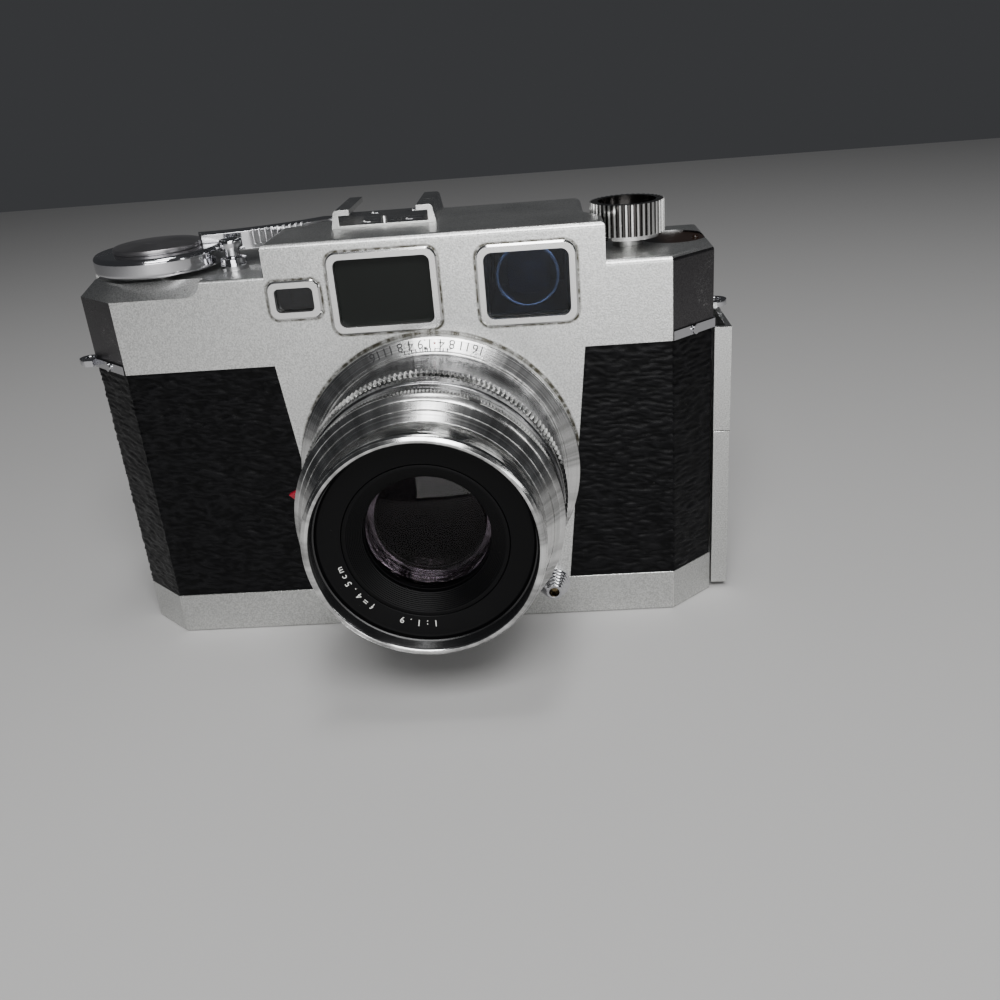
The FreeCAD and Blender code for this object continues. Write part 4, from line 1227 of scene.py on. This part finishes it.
@dataclass
class LeatherPanel:
    """A leatherette skin with wrinkles that run along the body."""

    node: str
    cell_x: float = 0.62
    cell_z: float = 0.30
    height: float = 0.22
    length: float = 3.4
    breadth: float = 0.85
    fade: float = 0.5

    def build(self, cad: CadCopies) -> None:
        """Cut a copy into a fine net and raise the wrinkles on its outer face.

        Args:
            cad: the CAD nodes and their copies.
        """
        bm = cad.copy(self.node)
        low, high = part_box(self.node)
        outward = -1.0 if low.y < 0 else 1.0
        self.net(bm, low, high)
        bm.normal_update()
        layer = bm.verts.layers.float.new("crest")
        inner = high.y if outward < 0 else low.y
        for vert in bm.verts:
            if vert.normal.y * outward < 0.25 and abs(vert.normal.x) < 0.5 or abs(vert.co.y - inner) < 1e-5:
                continue
            edge = min(vert.co.z - low.z, high.z - vert.co.z) / MM
            rise = self.rise(vert.co) * min(1.0, edge / self.fade)
            vert[layer] = rise
            vert.co += vert.normal * (rise - 0.4) * self.height * MM * min(1.0, edge / self.fade)
        finish_mesh(self.node + "_grained", bm, LEATHER, cad.body_of[self.node], 50.0, (self.node,), recalc=False)

    def net(self, bm: bmesh.types.BMesh, low: Vector, high: Vector) -> None:
        """Cut the mesh along planes across X and Z.

        Args:
            bm: the mesh.
            low: lowest corner of the node's box.
            high: highest corner of the node's box.
        """
        for axis, cell in ((0, self.cell_x * MM), (2, self.cell_z * MM)):
            normal = Vector((0, 0, 0))
            normal[axis] = 1.0
            for i in range(1, int((high[axis] - low[axis]) / cell)):
                spot = Vector(low)
                spot[axis] += i * cell
                near = [f for f in bm.faces
                        if min(v.co[axis] for v in f.verts) < spot[axis] < max(v.co[axis] for v in f.verts)]
                edges = {e for f in near for e in f.edges}
                verts = {v for f in near for v in f.verts}
                bmesh.ops.bisect_plane(bm, geom=list(verts) + list(edges) + near, dist=WELD, plane_co=spot,
                                       plane_no=normal)

    def rise(self, place: Vector) -> float:
        """Height of the wrinkles at a place, from 0 in a crease to 1 on a crest.

        Args:
            place: a point, in metres.

        Returns:
            The height, from 0 to 1.
        """
        x, y, z = place / MM
        sway = noise.noise(Vector((x / 6.0, y / 6.0, z / 5.0))) * 1.6
        cell = Vector((x / self.length, y / self.length, (z + sway) / self.breadth))
        broad = 1.0 - min(1.0, abs(noise.noise(cell)) * 3.4)
        fine = 1.0 - min(1.0, abs(noise.noise(cell * 1.7 + Vector((7.0, 0.0, 3.0)))) * 3.8)
        return min(1.0, broad ** 1.4 + 0.55 * fine ** 1.6)


@dataclass
class AccessoryShoe:
    """Accessory shoe with its screws."""

    edge: float = 0.22

    def dress(self, cad: CadCopies) -> None:
        """Rounded lips and screw heads."""
        cad.soften("accessory_shoe", CHROME_WORN, self.edge, 3)
        cad.soften("shoe_screws", CHROME, 0.08)


@dataclass
class TopControls:
    """Wind lever, release, rewind knob and reminder dial."""

    hub_edge: float = 0.2
    fine_edge: float = 0.1
    release_at: Tuple[float, float] = (-33.2, -5.0)
    small_ease: float = 0.12
    ribs: int = 9
    arm_centre: Tuple[float, float] = (-45.5, 46.0)
    arm_radius: float = 46.8
    ribs_from: float = -70.6
    ribs_to: float = -57.6
    rib_size: Tuple[float, float, float] = (1.7, 0.6, 3.2)
    rib_inset: float = 0.55
    rib_height: float = 87.1
    collar: Profile = ((1.62, 81.8), (2.9, 81.8), (2.9, 83.0), (2.72, 83.15), (2.72, 84.2), (1.62, 84.2))
    button: Profile = ((0.0, 83.2), (1.55, 83.2), (1.55, 86.3), (2.4, 86.3), (2.4, 87.75), (2.2, 88.0),
                       (1.5, 87.85), (0.0, 87.7))

    def dress(self, cad: CadCopies) -> None:
        """Round the parts on the top cover.

        Args:
            cad: the CAD nodes and their copies.
        """
        cad.soften("wind_disc", CHROME, self.hub_edge, 3)
        cad.soften("wind_arm", CHROME, self.fine_edge)
        cad.soften("wind_cap", CAP, self.hub_edge, 3)
        self.release()
        self.grip_ribs()
        cad.paint("rewind_knob", KNOB)
        cad.soften("reminder_dial", DIAL, self.fine_edge)
        for node in ("wind_shaft", "rewind_sleeve", "rewind_fork"):
            cad.paint(node, STEEL)

    def release(self) -> None:
        """Turned collar and stepped button of the release."""
        parts = (("release_collar", self.collar, "camera"), ("release_button", self.button, "release"))
        for node, outline, body in parts:
            turned = spun(eased(outline, self.small_ease), 64, True, Axis.UPRIGHT, self.release_at)
            finish_mesh(node + "_turned", turned, CHROME, body, 40.0, (node,))

    def grip_ribs(self) -> None:
        """Short ribs along the middle of the wind lever's front edge."""
        bm = bmesh.new()
        for i in range(self.ribs):
            angle = math.radians(self.ribs_from + (self.ribs_to - self.ribs_from) * i / (self.ribs - 1))
            away = self.arm_radius - self.rib_inset
            spot = (self.arm_centre[0] + away * math.cos(angle), self.arm_centre[1] + away * math.sin(angle),
                    self.rib_height)
            turn = Matrix.Translation(Vector(spot) * MM) @ Matrix.Rotation(angle, 4, "Z")
            turn = turn @ Matrix.Diagonal((*self.rib_size, 1.0))
            bmesh.ops.create_cube(bm, size=MM, matrix=turn)
        bevel_edges(bm, self.small_ease)
        finish_mesh("wind_arm_ribs", bm, CHROME, "wind")


@dataclass
class SmallFittings:
    """Strap lugs, flash socket, screws, hinge, tripod bush and base button."""

    edge: float = 0.12
    rings: int = 6
    socket_at: Tuple[float, float] = (30.0, 8.5)
    socket_bore: float = 1.15
    socket_foot: float = 3.7
    socket_tip: float = 1.9
    ring_pitch: float = 0.8

    def dress(self, cad: CadCopies) -> None:
        """Round the small metal fittings.

        Args:
            cad: the CAD nodes and their copies.
        """
        self.socket()
        for node in ("strap_lug_left", "strap_lug_right", "base_screws", "tripod_bush", "hinge_bracket",
                     "rewind_release", "door_hinge_pin"):
            cad.soften(node, CHROME, self.edge)
        cad.paint("pc_contact", CONTACT)
        cad.soften("door_latch", SATIN_PLAIN, self.edge)

    def socket(self) -> None:
        """Stepped cone of the flash socket."""
        outline = [(self.socket_bore, 0.0), (self.socket_foot, 0.0)]
        for step in range(self.rings):
            outer = self.socket_foot - (self.socket_foot - self.socket_tip) * step / (self.rings - 1)
            foot = step * self.ring_pitch
            outline += [(outer, foot + 0.12), (outer, foot + 0.56), (outer - 0.42, foot + 0.68)]
        front = self.rings * self.ring_pitch
        outline += [(1.75, front), (self.socket_bore, front)]
        bm = spun(eased(outline, 0.08), 72)
        shift = Vector((self.socket_at[0] - LENS_X, 0, self.socket_at[1] - LENS_Z)) * MM
        bmesh.ops.translate(bm, verts=bm.verts, vec=shift)
        finish_mesh("pc_socket_turned", bm, CHROME, "camera", 40.0, ("pc_socket",))


@dataclass
class FilmPath:
    """Parts inside the back."""

    steel: Tuple[str, ...] = ("sprocket", "pressure_plate", "pressure_spring")
    plastic: Tuple[str, ...] = ("takeup_spool",)

    def dress(self, cad: CadCopies) -> None:
        """Finish the film path.

        Args:
            cad: the CAD nodes and their copies.
        """
        for node in self.steel:
            cad.soften(node, STEEL, 0.08)
        for node in self.plastic:
            cad.soften(node, PLASTIC, 0.08)


@dataclass
class LensRings:
    """The lens barrel's turned rings, from the body outwards."""

    cad: CadCopies
    steps: int = 192
    teeth: int = 160
    serrations: int = 240
    glasses: Tuple[Tuple[str, float, float, float, float, Glass], ...] = (
        ("front_lens", 11.9, 27.9, 30.4, 32.4, COATED), ("middle_lens", 10.5, 20.6, 23.6, 25.2, AMBER_SHADED))
    bore: float = 21.12
    bore_from: float = 34.0
    grip_from: float = 14.58

    def build(self) -> None:
        """Turn every ring."""
        self.ring("depth_scale_ring", TURNED, [
            (23.65, -1.1), (24.0, -1.1), (24.0, 0.0), (29.9, 0.0), (29.9, 2.95), (29.7, 3.1), (27.3, 4.35),
            (27.2, 4.25), (26.8, 4.45), (26.8, 4.6), (23.65, 4.6)])
        self.ring("helicoid_sleeve", BRASS, [(21.58, -8.0), (23.6, -8.0), (23.6, 14.2), (21.58, 14.2)])
        self.grip()
        self.ring("aperture_ring", BAND, [
            (23.08, 20.8), (25.75, 20.8), (25.75, 21.0), (25.9, 21.1), (25.9, 22.7), (25.8, 22.8), (25.9, 22.9),
            (25.9, 24.4), (25.7, 24.5), (23.08, 24.5)])
        self.serrated()
        self.ring("front_cover_ring", TURNED, [
            (18.5, 28.2), (24.9, 28.2), (25.1, 28.4), (24.1, 29.8), (24.0, 29.7), (23.9, 30.05), (22.6, 31.9),
            (18.5, 31.9)], 0.06)
        self.ring("filter_ring", RIM_TURNED, [
            (18.6, 32.0), (22.0, 32.0), (22.0, 32.9), (22.6, 33.1), (22.6, 37.0), (22.52, 37.1), (22.6, 37.2),
            (22.6, 38.3), (22.3, 38.75), (22.25, 38.7), (21.75, 39.2), (21.35, 39.2), (21.2, 39.1), (21.0, 38.9)]
            + ridges((21.0, 38.8), (21.0, 36.5), 5, -0.22) + [(20.55, 36.4), (20.55, 35.0), (18.6, 35.0)], 0.05,
            (THREAD, self.inside))
        self.ring("front_cell", PAINT, [
            (12.0, 28.2), (18.4, 28.2), (18.4, 34.9), (15.9, 34.9), (12.9, 31.6), (12.0, 31.6)])
        self.ring("name_ring", PAINT, [(15.75, 35.0), (20.5, 35.0), (20.5, 36.1), (20.0, 36.2), (19.6, 36.1),
                                       (16.1, 35.55), (15.75, 35.5)])
        self.ring("lens_baffle", PAINT, [(12.6, 31.7), (15.6, 34.9), (15.6, 35.5)]
                  + ridges((15.0, 35.5), (12.15, 32.5), 11, -0.12) + [(12.1, 31.7)], 0.02)

    def inside(self, face: bpy.types.MeshPolygon) -> bool:
        """Whether a face of the filter ring lies inside its blackened bore."""
        away = math.hypot(face.center.x / MM - LENS_X, face.center.z / MM - LENS_Z)
        return away < self.bore and face.center.y / MM < FRONT - self.bore_from

    def ring(self, node: str, finish: Finish, profile: Profile, ease: float = 0.10,
             second: Optional[Tuple[Finish, Callable[[bpy.types.MeshPolygon], bool]]] = None) -> bpy.types.Object:
        """One plain turned ring.

        Args:
            node: the CAD node it stands for.
            finish: its finish.
            profile: its outline.
            ease: rounding of its corners in millimetres.
            second: another finish and the test that picks its faces.

        Returns:
            The ring.
        """
        turned = spun(eased(profile, ease), self.steps)
        made = finish_mesh(node + "_turned", turned, finish, self.cad.body_of[node], 50.0, (node,))
        if second:
            made.data.materials.append(second[0].material())
            for face in made.data.polygons:
                face.material_index = int(second[1](face))
        return made

    def toothed(self, profile: Profile, teeth: int, first: float, last: float, root: float,
                tip: float) -> bmesh.types.BMesh:
        """A ring whose tip radius drops to the root radius at every other step.

        Args:
            profile: outline with the tip radius in the toothed part.
            teeth: number of teeth.
            first: where the teeth start, ahead of the front face.
            last: where they end.
            root: radius of the gaps.
            tip: radius of the teeth.

        Returns:
            The toothed ring.
        """
        bm = spun(profile, teeth * 2)
        # the gap vertices are marked for the painted shade in the tooth gaps
        painted_gap_shade = bm.verts.layers.float.new("painted_gap_shade")
        for vert in bm.verts:
            x, z = vert.co.x / MM - LENS_X, vert.co.z / MM - LENS_Z
            away, ahead = math.hypot(x, z), FRONT - vert.co.y / MM
            column = round(math.atan2(z, x) / math.tau * teeth * 2)
            if column % 2 and abs(away - tip) < 0.05 and first <= ahead <= last:
                vert.co.x, vert.co.z = (LENS_X + x * root / away) * MM, (LENS_Z + z * root / away) * MM
                vert[painted_gap_shade] = 1.0
        return bm

    def grip(self) -> None:
        """Focus ring: a smooth band and a knurled grip with a chamfered front."""
        profile = [(23.68, 4.75), (26.3, 4.75), (26.5, 4.95), (26.5, 5.35), (26.38, 5.45), (26.5, 5.55), (26.5, 14.3),
                   (26.2, 14.4), (26.2, 14.55), (26.9, 14.7), (26.9, 17.0), (26.3, 17.7), (23.68, 17.7)]
        bm = self.toothed(profile, self.teeth, 14.6, 17.1, 26.25, 26.9)
        knurled = finish_mesh("focus_ring_knurled", bm, BAND, "focus", 12.0, ("focus_ring",))
        knurled.data.materials.append(GRIP.material())
        for face in knurled.data.polygons:
            face.material_index = int(FRONT - face.center.y / MM > self.grip_from)

    def serrated(self) -> None:
        """Speed ring with fine serrations behind a plain bevelled front."""
        profile = [(23.08, 24.7), (25.6, 24.7), (26.2, 24.85), (26.2, 26.4), (26.1, 26.45), (26.12, 27.0), (26.0, 27.2),
                   (25.35, 27.9), (25.2, 28.0), (23.08, 28.0)]
        bm = self.toothed(profile, self.serrations, 24.8, 26.41, 25.95, 26.2)
        finish_mesh("speed_ring_serrated", bm, TURNED, "speed", 20.0, ("speed_ring",))

    def dress(self) -> None:
        """Finish the case, the glasses and the blades."""
        self.cad.soften("shutter_case", BAND, 0.09)
        self.cad.soften("self_timer_lever", RED, 0.12)
        for node, edge, back, rim, vertex, finish in self.glasses:
            ground = spun(lens_outline(edge, back, rim, vertex), 128, False)
            finish_mesh(node + "_ground", ground, finish, "barrel", 40.0, (node,))
        self.cad.paint("rear_lens", COATED)
        self.cad.paint("shutter_blades", BLADES)
        self.cad.paint("iris_blades", BLADES)


@dataclass
class LensScales:
    """Engraved scales on the lens rings."""

    depth_numbers: Tuple[Tuple[float, str], ...] = (
        (-21.6, "16"), (-16.0, "11"), (-10.75, "8"), (-6.4, "4"), (-0.4, "1.9"), (6.35, "4"), (10.55, "8"),
        (15.6, "11"), (21.35, "16"))
    depth_ticks: Tuple[float, ...] = (-9.24, -6.18, -4.39, -2.59, -1.42, -0.42, 0.57, 1.75, 3.71, 5.84, 7.1, 8.88)
    brackets: Tuple[Tuple[float, float], ...] = ((-7.6, 3.1), (-15.4, 6.0), (7.1, 3.4), (15.1, 6.2))
    aperture_ticks: Tuple[float, ...] = (-2.2, 6.0, 12.2, 18.4, 24.4, 30.6, 36.8)
    stops: Tuple[str, ...] = ("22", "16", "11", "8", "5.6", "4", "2.8")
    distances: Tuple[Tuple[float, str], ...] = (
        (-12.0, "1"), (3.5, "1.2"), (16.4, "1.5"), (27.1, "2"), (44.0, "3"), (62.0, "5"), (84.0, "10"))
    case_numbers: Tuple[Tuple[float, str], ...] = ((14.0, "8"), (34.4, "9"), (54.0, "10"), (-8.0, "7"), (-28.0, "6"))
    speeds: Tuple[Tuple[float, str], ...] = ((-100.0, "B"), (-92.0, "1"), (-84.0, "2"), (-76.0, "4"), (-68.0, "8"),
                                             (-60.0, "15"), (-51.0, "30"), (-42.0, "60"))

    depth_row: Tuple[float, float] = (28.72, 3.61)
    letter_pitch: float = 5.4

    def build(self) -> None:
        """Every row of engraving."""
        slope = (-2.4, 1.25)
        out = (1.25, 2.4)
        marks = [Mark(c, t, height=1.95) for c, t in self.depth_numbers]
        Scale("depth_numbers", "camera", BLACK_INK, *self.depth_row, slope, out, Reading.ANTICLOCKWISE, marks).build()
        ticks = [Mark(c, width=0.24, height=0.80, shift=1.35) for c in self.depth_ticks]
        ticks.append(Mark(-0.3, width=0.6, height=0.6, shift=0.98))
        ticks += [Mark(c, width=w, height=0.13, shift=1.10) for c, w in self.brackets]
        Scale("depth_ticks", "camera", BLACK_INK, *self.depth_row, slope, out, Reading.ANTICLOCKWISE, ticks).build()
        dot = [Mark(3.5, width=0.42, height=0.42)]
        Scale("infrared_dot", "camera", RED_INK, *self.depth_row, slope, out, Reading.ANTICLOCKWISE, dot).build()
        near = [Mark(c, t, height=1.2) for c, t in self.distances]
        near += [Mark(c, width=0.2, height=0.6, shift=-1.2) for c, _ in self.distances]
        Scale("distance_scale", "focus", BLACK_INK, 26.5, 7.3, (0, 1), (1, 0), Reading.ANTICLOCKWISE, near).build()
        stops = [Mark(c, t, height=0.85, shift=-1.15) for c, t in zip(self.aperture_ticks, self.stops)]
        stops += [Mark(c, width=0.22, height=0.8, shift=0.35) for c in self.aperture_ticks]
        Scale("aperture_scale", "aperture", BLACK_INK, 25.9, 23.6, (0, 1), (1, 0), Reading.ANTICLOCKWISE, stops).build()
        case = [Mark(c, t, height=0.85) for c, t in self.case_numbers]
        Scale("case_numbers", "barrel", BLACK_INK, 26.2, 19.1, (0, 1), (1, 0), Reading.ANTICLOCKWISE, case).build()
        index = [Mark(24.3, width=2.2, height=1.5)]
        Scale("speed_index", "speed", BLACK_INK, 26.22, 26.2, (0, 1), (1, 0), Reading.ANTICLOCKWISE, index).build()
        speeds = [Mark(c, t, height=0.8) for c, t in self.speeds]
        Scale("speed_scale", "aperture", BLACK_INK, 25.9, 21.9, (0, 1), (1, 0), Reading.ANTICLOCKWISE, speeds).build()
        self.name_plate()

    def name_plate(self) -> None:
        """Aperture and focal length in white on the name ring, letter by letter."""
        for name, centre, text in (("lens_marking_low", 190.0, "1:1.9"), ("lens_marking_high", 238.0, "f=4.5cm")):
            first = centre - self.letter_pitch * (len(text) - 1) / 2
            marks = [Mark(first + i * self.letter_pitch, letter, height=1.3) for i, letter in enumerate(text)]
            Scale(name, "barrel", WHITE_INK, 17.2, 35.74, (4.25, 0.7), (-0.7, 4.25), Reading.CLOCKWISE, marks).build()


@dataclass
class Stage:
    """Floor, lights, surroundings and camera."""

    place: Tuple[float, float, float] = (0.0324, -0.2143, 0.1218)
    yaw: float = 3.79
    pitch: float = 24.84
    roll: float = -4.74
    lens: float = 35.88
    floor_size: float = 1.6
    room_strength: float = 0.07

    def build(self) -> None:
        """Set everything round the object."""
        self.floor()
        self.light("key", (0.06, -0.48, 0.55), (0.0, -0.20, 0.0), (0.40, 0.26), 4.2)
        self.light("over", (0.03, -0.07, 0.75), (0.0, -0.05, 0.0), (0.22, 0.13), 1.2)
        self.light("front", (0.10, -0.75, 0.13), (0.0, 0.0, 0.05), (0.50, 0.20), 1.7)
        self.light("right", (0.70, -0.45, 0.35), (0.0, 0.0, 0.05), (0.06, 0.35), 0.5)
        self.surroundings()
        self.camera()

    def floor(self) -> None:
        """Pale plain floor under the camera."""
        bm = bmesh.new()
        bmesh.ops.create_grid(bm, x_segments=1, y_segments=1, size=self.floor_size / 2)
        mesh = bpy.data.meshes.new("floor")
        bm.to_mesh(mesh)
        bm.free()
        mesh.materials.append(FLOOR_PAINT.material())
        floor = bpy.data.objects.new("floor", mesh)
        bpy.context.scene.collection.objects.link(floor)

    def light(self, name: str, place: Sequence[float], target: Sequence[float], size: Tuple[float, float],
              watts: float) -> None:
        """One soft area light.

        Args:
            name: its name.
            place: where it stands.
            target: what it points at.
            size: width and height in metres.
            watts: its power.
        """
        data = bpy.data.lights.new(name, "AREA")
        data.shape = "RECTANGLE"
        data.size, data.size_y = size
        data.energy = watts
        lamp = bpy.data.objects.new(name, data)
        lamp.location = place
        lamp.rotation_mode = "QUATERNION"
        lamp.rotation_quaternion = (Vector(target) - Vector(place)).to_track_quat("-Z", "Y")
        bpy.context.scene.collection.objects.link(lamp)

    def surroundings(self) -> None:
        """A dim, plain grey room."""
        world = bpy.data.worlds.new("room")
        world.use_nodes = True
        back = next(n for n in world.node_tree.nodes if n.type == "BACKGROUND")
        back.inputs["Color"].default_value = (0.62, 0.64, 0.68, 1.0)
        back.inputs["Strength"].default_value = self.room_strength
        bpy.context.scene.world = world

    def camera(self) -> None:
        """The camera that looks down at the object from its front right."""
        yaw, pitch, roll = (math.radians(a) for a in (self.yaw, self.pitch, self.roll))
        ahead = Vector((-math.sin(yaw) * math.cos(pitch), math.cos(yaw) * math.cos(pitch), -math.sin(pitch)))
        right = Vector((math.cos(yaw), math.sin(yaw), 0))
        over = right.cross(ahead)
        side = right * math.cos(roll) + over * math.sin(roll)
        up = over * math.cos(roll) - right * math.sin(roll)
        data = bpy.data.cameras.new("camera")
        data.lens = self.lens
        data.clip_start = 0.005
        made = bpy.data.objects.new("view", data)
        turn = Matrix((side, up, -ahead)).transposed().to_4x4()
        made.matrix_world = Matrix.Translation(self.place) @ turn
        bpy.context.scene.collection.objects.link(made)
        bpy.context.scene.camera = made


def main() -> None:
    """Load the frame and dress it, one sub-assembly after another."""
    logging.basicConfig(level=logging.INFO, format="%(message)s")
    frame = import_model()
    cad = CadCopies(frame)
    windows = FrontWindows()
    rings = LensRings(cad)
    steps: List[Tuple[str, Callable[[], None]]] = [
        ("windows", lambda: windows.dress(cad)),
        ("inner lens edge", windows.build),
        ("covers", lambda: Covers().dress(cad)),
        ("back leatherette", lambda: LeatherPanel("back_leatherette", 1.1, 0.5).build(cad)),
        ("right leatherette", lambda: LeatherPanel("leatherette_right").build(cad)),
        ("left leatherette", lambda: LeatherPanel("leatherette_left").build(cad)),
        ("accessory shoe", lambda: AccessoryShoe().dress(cad)),
        ("top controls", lambda: TopControls().dress(cad)),
        ("small fittings", lambda: SmallFittings().dress(cad)),
        ("film path", lambda: FilmPath().dress(cad)),
        ("lens rings", rings.build),
        ("lens case and glass", rings.dress),
        ("scales", LensScales().build),
        ("stage", Stage().build),
    ]
    for title, step in steps:
        step()
        log.info("built %s", title)


if __name__ == "__main__":
    main()
